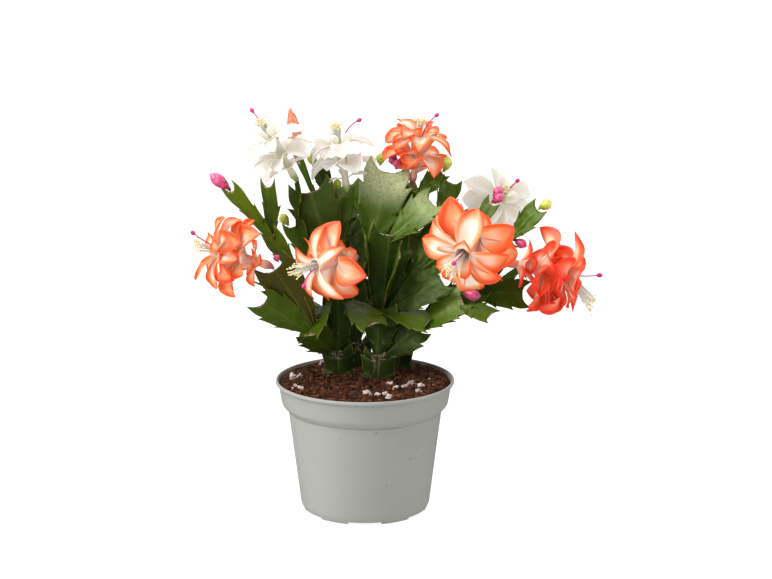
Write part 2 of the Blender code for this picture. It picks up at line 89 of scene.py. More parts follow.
RIGHT = [
    ("R0", (9, 4, 72), 90, 86, 0, 36, 25, 0),
    ("R1", "R0", 60, 82, 0, 36, 30, 0),
    ("R2", "R0<", -10, 44, 75, 32, 26, 10),
    ("R6", "R1>", 140, 84, 20, 48, 24, 0),
    ("R7", "R6", 58, 66, 28, 57, 36, 0),
    ("R5", "R1", 20, 84, 72, 56, 32, 0),
    ("R8", "R5", 5, 43, 38, 41, 28, 5),
    ("R4", "R1", -50, 66, 45, 48, 22, 0),
    ("R3", "R1", -30, 0, 20, 36, 24, 20),
    ("R9", "R1<", 15, 56, 50, 40, 24, 0),
    ("R10", "R9", 5, 58, 55, 41, 24, 0),
    ("R11", "R10>", 50, 62, 60, 28, 18, 0),
    ("R12", "R9>", 13, 20, 50, 50, 22, 0),
    ("R25", "R9<", -14, 37, 100, 58, 16, 0),
    ("R13", "R12>", -10, 55, 60, 28, 14, 0),
    ("R14", "R12<", 0, 5, 40, 28, 18, 0),
    ("R15", "R14", 0, 48, 50, 30, 18, 0),
    ("R16", "R2", -15, 36, 50, 42, 25, 5),
    ("R17", "R16<", -40, -4, 25, 26, 18, 5),
    ("R18", "R1<", -8, 32, 60, 46, 26, 0),
    ("R19", "R2", 8, 34, 55, 52, 26, 0),
    ("R20", "R19", -5, 0, 60, 38, 24, 10),
    ("R21", "R19", -30, 45, 50, 33, 20, 0),
    ("R22", "R1", 72, 68, 20, 52, 26, 0),
    ("R23", "R22", 22, 64, 60, 43, 20, 0),
    ("R24", "R23<", -14, 44, 55, 26, 18, 0),
]
BACK_LEFT = [
    ("B0", (-5, 33, 72), 110, 84, 0, 36, 24, 0),
    ("B1", "B0", 110, 76, 0, 42, 24, 0),
    ("B2", "B1", 140, 68, 30, 46, 28, 5),
    ("B3", "B2", 156, 63, 40, 60, 22, 0),
    ("B4", "B1", 100, 60, 10, 48, 30, 10),
    ("B5", "B4", 95, 55, 0, 42, 28, 10),
    ("B11", "B1", 50, 64, 20, 54, 30, 5),
    ("B10", "B0>", 60, 60, 10, 52, 30, 5),
    ("B6", "B0", 150, 40, 20, 44, 28, 10),
    ("B7", "B6", 160, 25, 20, 44, 28, 15),
    ("B9", "B2", 110, 74, 30, 36, 24, 0),
]
BACK_RIGHT = [
    ("E0", (22, 30, 72), 70, 84, 0, 36, 24, 0),
    ("E1", "E0", 65, 74, 0, 44, 26, 0),
    ("E2", "E1", 45, 58, -20, 46, 28, 5),
    ("E3", "E2", 33, 12, 65, 46, 24, 0),
    ("E4", "E1", 80, 62, 0, 46, 30, 5),
    ("E5", "E4", 85, 50, 0, 42, 26, 10),
    ("E6", "E0", 30, 38, -10, 46, 28, 10),
    ("E7", "E6", 25, 22, -10, 46, 28, 15),
    ("E9", "E7", 10, 35, -30, 36, 24, 10),
    ("E10", "E4", 110, 62, 0, 40, 26, 5),
]
CUTTINGS = [("left_cutting", LEFT), ("right_cutting", RIGHT), ("back_left_cutting", BACK_LEFT),
            ("back_right_cutting", BACK_RIGHT)]

# Blooms: name, carrier, turn, rise, spin in degrees, size, colour, and the style's sweep (turn, amount).
BLOOMS = [
    ("bloom_white_left", "L18", 190, 61, 170, .9, "white", (70, 15)),
    ("bloom_white_middle", "L20<", 190, 82, 65, .89, "white", (100, 30)),
    ("bloom_orange_top", "R23>", -44, 78, 295, .9, "orange", (120, 18)),
    ("bloom_orange_left", "L4", 192, 20, 175, 1.01, "orange", (230, 15)),
    ("bloom_orange_front", "L13", 222, -1, 30, 1.01, "orange", (150, 20)),
    ("bloom_orange_right", "R25", 244, -18, 65, 1.17, "orange", (100, 10)),
    ("bloom_red_right", "R21", 1, -14, 90, 1.15, "red", (170, 17)),
    ("bloom_white_right", "E3", 291, 36, 80, .95, "white", (160, 0)),
]
# Buds: name, carrier, turn, rise, length, width and colour.
BUDS = [
    ("bud_pink_far_left", "L15", 165, 35, 16, 8, "pink"),
    ("bud_pink_top_a", "R7<", 198, 72, 15, 8, "pink"),
    ("bud_green_top", "R7>", 80, 72, 8, 6, "green"),
    ("bud_green_right_top", "R24", 0, 74, 10, 7, "green"),
    ("bud_pink_right_a", "R10<", -20, 60, 12, 7, "pink"),
    ("bud_pink_right_b", "R13", 20, 60, 12, 7, "pink"),
    ("bud_green_far_right", "R15", 0, 25, 9, 7, "green"),
    ("bud_pink_right_c", "R14", -10, -30, 9, 6, "pink"),
    ("bud_pink_right_d", "R21>", 40, 30, 10, 6, "pink"),
    ("bud_pink_low_right", "R16>", -22, -4, 12, 7, "pink"),
    ("bud_green_left", "L17<", 190, 55, 9, 6, "green"),
    ("bud_green_left_top", "L19<", 175, 60, 9, 6, "green"),
    ("bud_green_middle", "L20>", 120, 76, 7, 5, "green"),
    ("bud_pink_tiny_left", "L4>", 190, 66, 5, 4, "pink"),
]
CLOSED_BLOOM = ("bloom_orange_closed", "B3", 190, 82, 38, 10)

# How bright and how bronzed some segments are, and how strong a painted whitish sheen lies on them, from 0 to
# 1.
# The brightness is partly age and partly painted shade: R4, R5 and R9, in the dark middle of the plant, are
# set dark for the shade there. The rest brighten to the tips.
TONES = {
    "L2": (.3, .3, 0), "L3": (.5, .1, 0), "L4": (.3, .85, 0), "L7": (.2, .05, .04), "L8": (.2, 0, 0),
    "L10": (.75, .05, 0), "L11": (.5, .1, 0), "L13": (.6, .5, 0), "L14": (.55, .3, 0), "L15": (.9, .05, 0),
    "L16": (.3, .15, 0), "L17": (.4, 0, 0), "L18": (.3, 0, 0), "L20": (.6, 0, 0), "R3": (.6, .1, 0),
    # The third value is a painted sheen, strongest on R7 and R8.
    "R4": (.2, .2, 0), "R5": (.08, .05, 0), "R7": (.35, 0, 1), "R8": (.5, 0, .38), "R9": (.08, .05, 0),
    "R10": (.35, .05, 0), "R12": (.4, .35, 0), "R13": (.55, .15, .1), "R14": (.6, .1, 0), "R15": (.6, 0, 0),
    "R16": (.7, 0, .1), "R17": (.6, .1, 0), "R19": (.2, .05, 0), "R20": (.3, .05, 0), "R21": (.3, .1, 0),
    "R24": (.6, .05, 0), "R25": (.35, .1, 0),
}

# Bloom at size 1: height and radius up its tube, which opens at the mouth.
MOUTH = 38
BLOOM_BODY = [(0, .9), (1, 1.9), (3, 2.8), (5, 3), (7, 2.8), (10, 2.4), (20, 3), (34, 4.3), (MOUTH, 4.9)]
BLOOM_THROAT = [(MOUTH + .3, 4.6), (MOUTH - 1, 4.1), (30, 3), (24, 2)]
BLOOM_FOOT, BLOOM_NECK = 2.6, .9
# Whorls: count, height up the tube, radius there, lean and curl in degrees, length, width and cup.
WHORLS = [(3, 10, 1.6, 45, 60, 17, 12, .1), (4, 20, 2.3, 45, 88, 29, 19.5, .2),
          (5, 35.5, 3.4, 48, 95, 26, 15.5, .16)]
CURL_HASTE = .7
# More petals fill the gaps of each whorl: count, and their length as a share of the others'.
FILLERS = [(2, .8), (3, .9), (3, .9)]
# Blooms so full that their whorls have this many more rounds of less bent petals.
FULL = {"bloom_red_right": 2, "bloom_orange_left": 1, "bloom_orange_top": 1}
# Blooms with slender petals: the share of the whorls' widths, lowest first. The slimmest get no fillers.
SLENDER = {"bloom_white_left": (.75, .8, .75), "bloom_orange_front": (.8, 1, .55),
           "bloom_white_middle": (.6, 1, 1)}
SLIMMEST = .7
# Small petals that stand round the throat: count, height, radius, lean, curl, length, width and cup.
INNER = (3, 37, 4.3, 12, 60, 14, 11, .3)
PETAL_ROWS, PETAL_COLUMNS, PETAL_WALL = 24, 10, .42
STAMENS, STAMENS_ASIDE, STYLE_ASIDE = 44, 1.1, 2.2
FILAMENT_RADIUS, STYLE_RADIUS = .2, .48
STYLE_LENGTH, STYLE_STEPS = 25.9, 22
STIGMA = [1.1, 2.6, 3.9, 3.9, 2.1]
# How far the stamens of some blooms hang, as a share of their length.
DROOPS = {"bloom_red_right": .75, "bloom_orange_top": .25, "bloom_orange_left": .05}
# Bud of length 1: height up it, and radius as a share of its width.
BUD = [(0, .1), (.05, .2), (.16, .33), (.28, .38), (.45, .5), (.62, .5), (.75, .43), (.88, .27), (1, .05)]
CLOSED = [(0, .08), (.1, .26), (.2, .25), (.34, .42), (.48, .5), (.6, .48), (.74, .37), (.87, .2), (1, .05)]
BUD_FOOT, BUD_NECK, CLOSED_FOOT = .34, .8, 1
# Scales of a bud: count and length as a share of it. The next one stands this share of a turn further on.
BUD_SCALES, CLOSED_SCALES, GOLDEN_TURN = (7, .6), (9, .62), .381966
# Buds that are a cluster: for each small one, how far across and up it sits, its lean, length and width.
CLUSTERS = {
    "bud_pink_top_a": [(0, .42, 6, .58, .9), (-.28, .1, 28, .5, .75), (.3, .02, -26, .46, .7)],
    "bud_pink_right_a": [(0, .2, 0, .8, .95), (-.5, .1, 30, .7, .8), (.5, .05, -32, .66, .8),
                         (-.95, -.1, 62, .5, .5)],
    "bud_pink_right_b": [(0, .12, -8, .88, .85), (-.5, 0, 24, .66, .75)],
}

# Pot: radius and height, from the middle of the foot out, up the outside, over the lip and down inside.
POT_PROFILE = [(8.4, 0), (8.8, .2), (9.4, 2.8), (36.6, 2.8), (37.2, .3), (37.6, 0), (40.6, 0), (41.3, .4),
               (43.1, 4), (43.5, 5.4), (51.55, 68.6), (51.3, 69), (51.3, 69.4), (52.2, 69.8), (52.7, 70.3),
               (55.3, 73.2), (55.9, 74.4), (56.2, 75.6), (58, 86.3), (58.3, 87.1), (59.6, 87.6), (60, 88.2),
               (60, 89.3), (59.8, 89.8), (59.4, 90), (58.9, 90), (58.6, 89.8), (58.4, 89.2), (57.6, 86.8),
               (54.6, 75), (50.7, 70.1), (41.9, 4.4)]
POT_SIDES = 120
FOOT_NOTCHES, FOOT_RING, NOTCH_REACH, NOTCH_WIDTH, NOTCH_HEIGHT = 6, 39.5, 12, 22, 1.7
DRAIN_HOLES, DRAIN_RADIUS, DRAIN_RING, DRAIN_SIDES, DRAIN_HEIGHT, DRAIN_DEPTH = 6, 3.2, 27, 24, 3, 8
SMOOTH_ANGLE = 32
SOIL_SIDES, SOIL_RINGS = 120, 34
SOIL_TOP, SOIL_EDGE, SOIL_REACH = 89.3, 88.5, 57
# Soil block: radius and height up its outside. Its top is drawn flat, and roughened above SOIL_ROUGH.
SOIL_PROFILE = [(41.2, 4.8), (50, 70.6), (53.8, 75.4), (SOIL_REACH, 86.9)]
SOIL_DRAWN, SOIL_ROUGH = 88, 87
CRUMBS, FIBRES = 3400, 900
# Perlite: where the white grains lie (x, y) and how wide they are.
PERLITE = [(-49, 8.5, 3.2), (-49.5, 1, 2.6), (-44, 6, 3.4), (-47.5, 3, 1.6), (-46.5, -17.5, 2.8),
           (-42.7, -21.2, 2.8), (-30, 41, 3.6), (-48, -21, 1.3), (1.1, -36.8, 3.8), (4, -39, 2.2),
           (8.7, -39.1, 2.8), (13.3, -36.8, 3), (16, -43.8, 2.8), (20.7, -25.6, 3), (17.1, -14.5, 3),
           (15, -12, 1.6), (25.2, -18, 2), (27.7, -17, 2.2), (30.3, -13.1, 3.8), (32.3, -10.7, 2.6),
           (37.3, -17.9, 3.6), (35.5, -31, 3.2), (-21.5, 23.6, 1.1), (43.3, 1.4, 1.3), (4.5, 28.6, 1.1),
           (22, -20.5, 1.4), (-16, -33, .9), (-2, -22, .8), (46, -12, 1)]
CHIP = (22, -41.2, 4.2)
RING_GRAIN, RING_BITS = (27.6, 42, 2), 9

# Blanks: rows or rings, and columns or sides.
LEAF_COLUMNS, SCALE_ROWS, SCALE_COLUMNS = 16, 8, 6
TUBE_SIDES, BUD_SIDES, BUD_RINGS, STALK_SIDES, STYLE_SIDES = 20, 18, 20, 10, 10
THREAD_SIDES, THREAD_RINGS = 4, 8

CAMERA_PLACE, CAMERA_PITCH, CAMERA_LENS, SENSOR = (.0141, -1.8, .584), .2358, 129.3, 36
WORLD_LIGHT, FLOOR_GLOW, FLOOR_SIZE = .1, .86, 8
# Suns: name, turn and rise in degrees, spread in degrees and strength.
SUNS = [("key", -155, 40, 44, 4.5), ("top", 80, 64, 90, 2.2), ("side", -5, 25, 40, 1.6)]
# Softboxes: name, place, aim, size and power.
SOFTBOXES = [("front", (-.2, -1.31, 1.1), (0, 0, .22), .6, 3.8),
             ("low", (-.75, -1.35, .14), (0, 0, .2), .7, 2.5)]

# Petals: tones of the root, the middle, further out and the margin. Then how strongly veined they are, how
# much light goes in, how far each colour of it spreads, and how strongly they glow: a painted glow that
# lightens their shaded sides.
PETAL_TONES = {
    "orange": ((.78, .58, .48), (.9, .68, .55), (.9, .27, .11), (.84, .05, .008),
               .45, .5, (1, .4, .25), .07),
    "red": ((.8, .54, .44), (.9, .48, .34), (.87, .12, .045), (.74, .02, .008),
            .45, .45, (1, .35, .25), .06),
    "white": ((.38, .41, .21), (.39, .375, .33), (.4, .385, .35), (.4, .381, .348),
              .25, 1, (1, .8, .65), .46),
}


# --- Blanks: each form is modelled once, and every piece is a shaped copy of one of them ---

def bare_selection():
    if bpy.context.object and bpy.context.object.mode != "OBJECT":
        bpy.ops.object.mode_set(mode="OBJECT")
    bpy.ops.object.select_all(action="DESELECT")


def blade_blank(name, rows, columns):
    """A closed flat blade: a grid raised into a wall, -1 to 1 across and along, and 0 to 1 in height."""
    bare_selection()
    bpy.ops.mesh.primitive_grid_add(x_subdivisions=columns, y_subdivisions=rows, size=2)
    bpy.ops.object.mode_set(mode="EDIT")
    bpy.ops.mesh.select_all(action="SELECT")
    bpy.ops.mesh.extrude_region_move(TRANSFORM_OT_translate={"value": (0, 0, 1)})
    bpy.ops.mesh.select_all(action="SELECT")
    bpy.ops.mesh.normals_make_consistent(inside=False)
    return put_away(name)


def rod_blank(name, sides, rings):
    """A closed upright rod of radius 1, rings 1 apart: a short cylinder whose top is drawn up in steps."""
    bare_selection()
    bpy.ops.mesh.primitive_cylinder_add(vertices=sides, radius=1, depth=1, location=(0, 0, .5))
    bpy.ops.object.mode_set(mode="EDIT")
    select_faces(lambda face: face.normal.z > .5)
    for _ in range(rings - 2):
        bpy.ops.mesh.extrude_region_move(TRANSFORM_OT_translate={"value": (0, 0, 1)})
    return put_away(name)


def ball_blank(name, cuts):
    bare_selection()
    bpy.ops.mesh.primitive_ico_sphere_add(subdivisions=cuts, radius=1)
    return put_away(name)


def select_faces(wanted):
    """Selects the faces of the object in edit mode that are wanted, and no others."""
    bpy.ops.mesh.select_mode(type="FACE")
    bpy.ops.mesh.select_all(action="DESELECT")
    bpy.ops.object.mode_set(mode="OBJECT")
    for face in bpy.context.object.data.polygons:
        face.select = wanted(face)
    bpy.ops.object.mode_set(mode="EDIT")


def put_away(name):
    """Takes the finished blank out of the scene, for copies to be made of it."""
    if bpy.context.object.mode != "OBJECT":
        bpy.ops.object.mode_set(mode="OBJECT")
    blank = bpy.context.object
    blank.name = name
    bpy.ops.object.transform_apply(location=True, rotation=True, scale=True)
    bpy.context.scene.collection.objects.unlink(blank)
    return blank


def points_of(mesh):
    flat = np.empty(len(mesh.vertices) * 3, np.float32)
    mesh.vertices.foreach_get("co", flat)
    return flat.reshape(-1, 3).astype(float)


def shaped(blank, name, place, finish, **marks):
    """A copy of a blank with its own mesh. place gives each point in mm, and marks are point attributes."""
    mesh = blank.data.copy()
    mesh.name = name
    start = points_of(mesh)
    points = place(*start.T)
    mesh.vertices.foreach_set("co", np.ascontiguousarray(points * MM, np.float32).ravel())
    for mark, value in marks.items():
        layer = mesh.attributes.new(mark, "FLOAT_VECTOR", "POINT")
        values = value(*start.T) if callable(value) else np.broadcast_to(value, points.shape)
        layer.data.foreach_set("vector", np.ascontiguousarray(values, np.float32).ravel())
    mesh.materials.clear()
    mesh.materials.append(finish)
    for face in mesh.polygons:
        face.use_smooth = True
    mesh.update()
    obj = bpy.data.objects.new(name, mesh)
    bpy.context.scene.collection.objects.link(obj)
    return obj


def one_piece(name, parts, slot, *nodes):
    """Joins the parts into one piece that stands for the CAD nodes."""
    bare_selection()
    for part in parts:
        part.select_set(True)
    bpy.context.view_layer.objects.active = parts[0]
    if len(parts) > 1:
        bpy.ops.object.join()
    piece = bpy.context.object
    piece.name = piece.data.name = name
    bpy.ops.object.mode_set(mode="EDIT")
    bpy.ops.mesh.select_all(action="SELECT")
    bpy.ops.mesh.normals_make_consistent(inside=False)
    bpy.ops.object.mode_set(mode="OBJECT")
    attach(piece, "root")
    if nodes:
        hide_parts(*nodes)
    return piece


def unit(vector):
    return vector / np.linalg.norm(vector)


def axes(turn, rise, roll=0):
    """Along, across and upper-side directions of a segment or a bloom."""
    a, b, c = map(math.radians, (turn, rise, roll))
    along = np.array([math.cos(b) * math.cos(a), math.cos(b) * math.sin(a), math.sin(b)])
    level = np.array([-math.sin(a), math.cos(a), 0])
    raised = np.cross(along, level)
    return along, math.cos(c) * level + math.sin(c) * raised, math.cos(c) * raised - math.sin(c) * level


def swept(blank, name, centres, radii, across, upper, finish, lobes=None, **marks):
    """A rod along a line of centres. lobes(turn, share) may vary its radius round and along it."""
    centres, radii = np.array(centres, float), np.array(radii, float)
    across, upper = (np.broadcast_to(side, centres.shape) for side in (across, upper))

    def place(x, y, z):
        ring = np.rint(z).astype(int)
        radius = radii[ring]
        if lobes:
            radius = radius * lobes(np.arctan2(y, x), z / (len(centres) - 1))
        return centres[ring] + radius[:, None] * (x[:, None] * across[ring] + y[:, None] * upper[ring])

    return shaped(blank, name, place, finish, **marks)


def turned_frames(centres, upper):
    """Directions across and up at each centre of a bent line."""
    ahead = np.gradient(np.array(centres), axis=0)
    ups = []
    for direction in ahead:
        direction = unit(direction)
        upper = unit(upper - np.dot(upper, direction) * direction)
        ups.append(upper)
    return np.cross(ahead / np.linalg.norm(ahead, axis=1)[:, None], ups), np.array(ups)


def rising(rings):
    """A mark that grows from 0 with the height of a rod of this many rings."""
    return lambda x, y, z: np.stack([z / rings, 0 * z, 0 * z], axis=1)


def lengthwise(x, y, z):
    """A mark that grows from 0 at a blade's root to 1 at its tip."""
    return np.stack([(y + 1) / 2, 0 * y, 0 * y], axis=1)


def set_at(centre, sides):
    """Puts a blank at a centre, with its x, y and z drawn out along the three sides."""
    return lambda x, y, z: centre + np.stack([x, y, z], axis=1) @ sides


# --- Segments ---

class Segment:
    """Where a flat segment stands, and the place of any point of it."""

    def __init__(self, base, turn, rise, roll, length, width, droop):
        self.base, self.length, self.width = np.array(base, float), length, width
        self.along, self.across, self.upper = axes(turn, rise, roll)
        self.droop = math.radians(droop) or 1e-6

    def points(self, station, half_width, across, height):
        """station, half width, across from -1 to 1, and height over the blade in mm are arrays."""
        x = across * half_width * self.width / 2
        y = self.length * station * (.93 + HORN * np.abs(across) ** (1.5 + HOOK * station ** 6))
        angle = self.droop * y / self.length
        radius = self.length / self.droop
        out, down = radius * np.sin(angle), radius * (1 - np.cos(angle))
        normal = np.outer(np.cos(angle), self.upper) + np.outer(np.sin(angle), self.along)
        lift = CUP * np.abs(x) + height
        return (self.base + np.outer(out, self.along) - np.outer(down, self.upper)
                + np.outer(x, self.across) + lift[:, None] * normal)

    def point(self, station, half_width, across, height=0):
        return self.points(*(np.array([float(value)]) for value in (station, half_width, across, height)))[0]


def side_of(source):
    return {"<": -SIDE, ">": SIDE}.get(source[-1], 0)


def carrier_of(source):
    return SEGMENTS[source.rstrip("<>")]


def margin(shape, chance):
    """One margin of a segment: stations in the middle and at the margin, and half widths, row by row."""
    middle, edge, width = [0], [0], [shape["foot"]]
    start, low = 0, shape["foot"]
    for tip, high, notch in shape["teeth"] + [(1, shape["end"], None)]:
        last = notch is None
        shift = 0 if last else chance.uniform(-.025, .025)
        high = high * chance.uniform(.97, 1.03)
        reach, hook = (TIP_ROWS, TIP_HOOK) if last else (TOOTH_ROWS, TOOTH_HOOK)
        for step in range(1, reach + 1):
            t = step / reach
            flare = 1.08 * math.sin(math.pi * t) * .1 if last else 0
            middle.append(start + (tip - start) * t)
            edge.append(start + (tip + shift - start) * t + hook * t ** 5)
            width.append(low + (high - low) * (.66 * t + .34 * t ** 6) + flare)
        if not last:
            middle.append(tip + .014)
            edge.append(tip + shift + .006)
            width.append(notch * chance.uniform(.96, 1.04))
            start, low = tip + .014, width[-1]
    return np.array(middle), np.array(edge), np.array(width)


def segment_rows(shape):
    return len(shape["teeth"]) * (TOOTH_ROWS + 1) + TIP_ROWS


def leaf_segment(label, segment, shape, rib, tone):
    """A toothed blade, thick along its rib and thin at its margins, with a slow wave of its own."""
    chance = random.Random(label)
    left, right = margin(shape, chance), margin(shape, chance)
    phase, wave = chance.uniform(0, math.tau), chance.uniform(.3, .6) * (rib < OLD_RIB)
    swell = .9 if rib < OLD_RIB else .4
    rows = len(left[0]) - 1

    def place(x, y, z):
        row = np.rint((y + 1) / 2 * rows).astype(int)
        edge = np.where(x < 0, left[1][row], right[1][row])
        half_width = np.where(x < 0, left[2][row], right[2][row])
        wide = np.abs(x)
        middle = (left[0][row] + right[0][row]) / 2
        station = middle + (edge - middle) * wide ** 2
        bumps = np.array([noise.noise((a * 1.5 + phase, b * 1.9, phase)) for a, b in zip(x, y)])
        nicks = np.array([noise.noise((a * 7, phase, 3)) for a in x])
        station = station + (row == rows) * .022 * nicks * (1 - wide ** 4)
        round_off = (1 - wide ** 2) if rib >= OLD_RIB else .4 * (1 - wide) + .6 * np.exp(-(wide / .2) ** 2)
        wall = MARGIN + (rib - MARGIN) * round_off
        height = (z - .5) * wall + wave * np.sin(9 * station + phase + x) * wide ** 1.5 + swell * bumps
        return segment.points(station, half_width, x, height)

    return shaped(LEAF_BLANKS[len(shape["teeth"])], label, place, LEAF, tint=tone)


def depth_of(label, rows):
    """How many segments lie between this one and the soil."""
    sources = {row[0]: row[1] for row in rows}
    depth = 0
    while isinstance(sources[label], str):
        label, depth = sources[label].rstrip("<>"), depth + 1
    return depth


def grow_cutting(name, rows):
    """Every segment of one cutting, from the trunk up, and the woolly line along each tip."""
    segments, wool, chance = [], [], random.Random(name)
    for label, source, *place in rows:
        base = source
        if isinstance(source, str):
            base = carrier_of(source).point(ROOT_STATION, TIP_WIDTH, side_of(source))
        SEGMENTS[label] = Segment(base, *place)
        plain = SLIM if "back" in name or SEGMENTS[label].width < NARROW else BROAD
        shape, rib = {"0": (TRUNK, TRUNK_RIB), "1": (SLIM, OLD_RIB)}.get(label[1:], (plain, RIB))
        # A tone is the brightness (age, with painted shade on some), the bronze, and the strength of the
        # painted sheen.
        tone = TONES.get(label, (min(.5, .04 + .07 * depth_of(label, rows)), chance.uniform(0, .15), 0))
        segments.append(leaf_segment(label, SEGMENTS[label], shape, rib, tone))
        wool += cork(label, SEGMENTS[label]) if shape is TRUNK else areole(label, SEGMENTS[label])
    one_piece(name[:-8] + "_segments", segments, "leaf_green", name)
    one_piece(name[:-8] + "_areoles", wool, "leaf_green")


def areole(label, segment):
    """The woolly line between the two horns of a tip: a row of small tan and pink tufts."""
    chance, tufts = random.Random(label + "wool"), []
    count = max(FEWEST_TUFTS, round(segment.width / TUFT_SPACING))
    for i in range(count):
        across = (i + chance.uniform(.2, .8)) / count * 1.2 - .6
        centre = segment.point(1, TIP_WIDTH, across, chance.uniform(-.4, .4))
        size = chance.uniform(.5, .85) * (1.2 - abs(across))
        stretch = np.array([chance.uniform(1.2, 2), chance.uniform(.8, 1.3), chance.uniform(.6, .9)]) * size
        pink, shade = chance.random() < PINK_SHARE, chance.random()
        tufts.append(tuft(f"{label}_tuft_{i}", segment, centre, stretch, pink, shade))
    return tufts


def tuft(name, segment, centre, stretch, blush, shade):
    sides = stretch[:, None] * np.stack([segment.across, segment.upper, segment.along])
    return shaped(TUFT, name, set_at(centre, sides), WOOL, tint=(blush, shade, 0))


def cork_lift(across):
    """How high a trunk's face lies over its middle plane."""
    return (MARGIN + (TRUNK_RIB - MARGIN) * (1 - across ** 2)) / 2


def cork(label, segment):
    """Tan flakes and dry strands of old wool round the joint above a trunk."""
    chance, flakes = random.Random(label + "cork"), []
    for i in range(CORK_FLAKES):
        station, across = chance.uniform(.84, 1.03), chance.uniform(-.5, .5)
        side = 1 if i % 3 else -1
        lift = side * (.15 + cork_lift(across))
        centre = segment.point(station, TIP_WIDTH, across, lift)
        stretch = np.array([chance.uniform(.4, 1.5), chance.uniform(.12, .3), chance.uniform(.2, .7)])
        flakes.append(tuft(f"{label}_flake_{i}", segment, centre, stretch, 0, chance.uniform(-.8, .2)))
    for i in range(CORK_STRANDS):
        across, side = chance.uniform(-.4, .45), 1 if i % 4 else -1
        low, high = chance.uniform(.6, .85), chance.uniform(.92, 1.05)
        drift, centres = chance.uniform(-.12, .12), []
        for t in np.linspace(0, 1, THREAD_RINGS):
            here = across + drift * t + .03 * math.sin(5 * t + i)
            lift = side * (.05 + cork_lift(here))
            centres.append(segment.point(low + (high - low) * t, TIP_WIDTH, here, lift))
        sides = turned_frames(centres, segment.upper)
        radii = [chance.uniform(.08, .16)] * THREAD_RINGS
        flakes.append(swept(FILAMENT, f"{label}_strand_{i}", centres, radii, *sides, WOOL,
                            tint=(0, chance.uniform(-.6, .4), 0)))
    return flakes


# --- Blooms and buds ---

def seat(source, direction, foot):
    """Where a disc of this radius, facing the direction, stands just clear of the tip that carries it."""
    carrier, across = carrier_of(source), side_of(source)
    middle, lifts = carrier.point(1, TIP_WIDTH, 0), []
    for side in [math.copysign(1, across)] if across else [-1, 1]:
        edge = unit(carrier.point(1, TIP_WIDTH, side) - middle)
        rise = float(np.dot(carrier.along, edge))
        outward = (carrier.along - rise * edge) / math.sqrt(1 - rise ** 2)
        lean = math.sqrt(1 - float(np.dot(outward, direction)) ** 2)
        lifts.append((SEAT_GAP + foot * lean) / math.sqrt(1 - rise ** 2))
    tip = middle + abs(across) * (carrier.point(1, TIP_WIDTH, math.copysign(1, across)) - middle)
    return tip + max(lifts) * carrier.along


def petal_width(v, point=.85):
    """Half width of a petal along it: narrow at its root, widest past the middle, then drawn to a point."""
    grow, close = np.clip(v / .6, 0, 1), np.clip((v - .6) / .4, 0, 1)
    return (.3 + .7 * np.sin(grow * math.pi / 2) ** 1.15) * (1 - close ** 1.8) ** point + .03 * (close >= 1)


def petal(name, root, axis, radial, size, lean, curl, length, width, cup, finish, chance):
    """A petal that leaves the tube at its root and curls outwards, hollowed along it, with waved edges."""
    tangent = np.cross(axis, radial)
    centre, middles, inners, sides = np.array(root, float), [], [], []
    flick, twist, point = chance.uniform(-30, 25), chance.uniform(-.4, .4), chance.uniform(.6, 1.05)
    for step in range(PETAL_ROWS + 1):
        share = step / PETAL_ROWS
        angle = math.radians(lean + curl * share ** CURL_HASTE + flick * share ** 5)
        inner = math.sin(angle) * axis - math.cos(angle) * radial
        middles.append(centre)
        inners.append(math.cos(twist * share) * inner - math.sin(twist * share) * tangent)
        sides.append(math.cos(twist * share) * tangent + math.sin(twist * share) * inner)
        centre = centre + (math.cos(angle) * axis + math.sin(angle) * radial) * length * size / PETAL_ROWS
    middles, inners, sides = np.array(middles), np.array(inners), np.array(sides)
    phase, wave = chance.uniform(0, math.tau), chance.uniform(.015, .045)
    shade = (chance.random(), chance.random(), 0)

    def place(x, y, z):
        v = (y + 1) / 2
        row = np.rint(v * PETAL_ROWS).astype(int)
        reach = x * petal_width(v, point) * width * size / 2
        hollow = cup * np.abs(reach) + .03 * reach ** 2 / size
        ripple = wave * width * np.sin(11 * v + 2 * np.sign(x) + phase) * np.abs(x) ** 3 * v
        crease = -.3 * np.exp(-(x / .12) ** 2) * (1 - .6 * v)
        wall = PETAL_WALL * (1 - .45 * np.abs(x)) * (z - .5)
        lift = hollow + ripple + crease + wall
        return middles[row] + reach[:, None] * sides[row] + lift[:, None] * inners[row]

    return shaped(PETAL, name, place, finish, tint=shade)


def bloom_body(name, stations, across, upper, finish):
    centres, radii = zip(*stations)
    blank = rod_blank("tube_blank", TUBE_SIDES, len(stations))
    return swept(blank, name, centres, radii, across, upper, finish, tint=rising(len(stations) - 1))


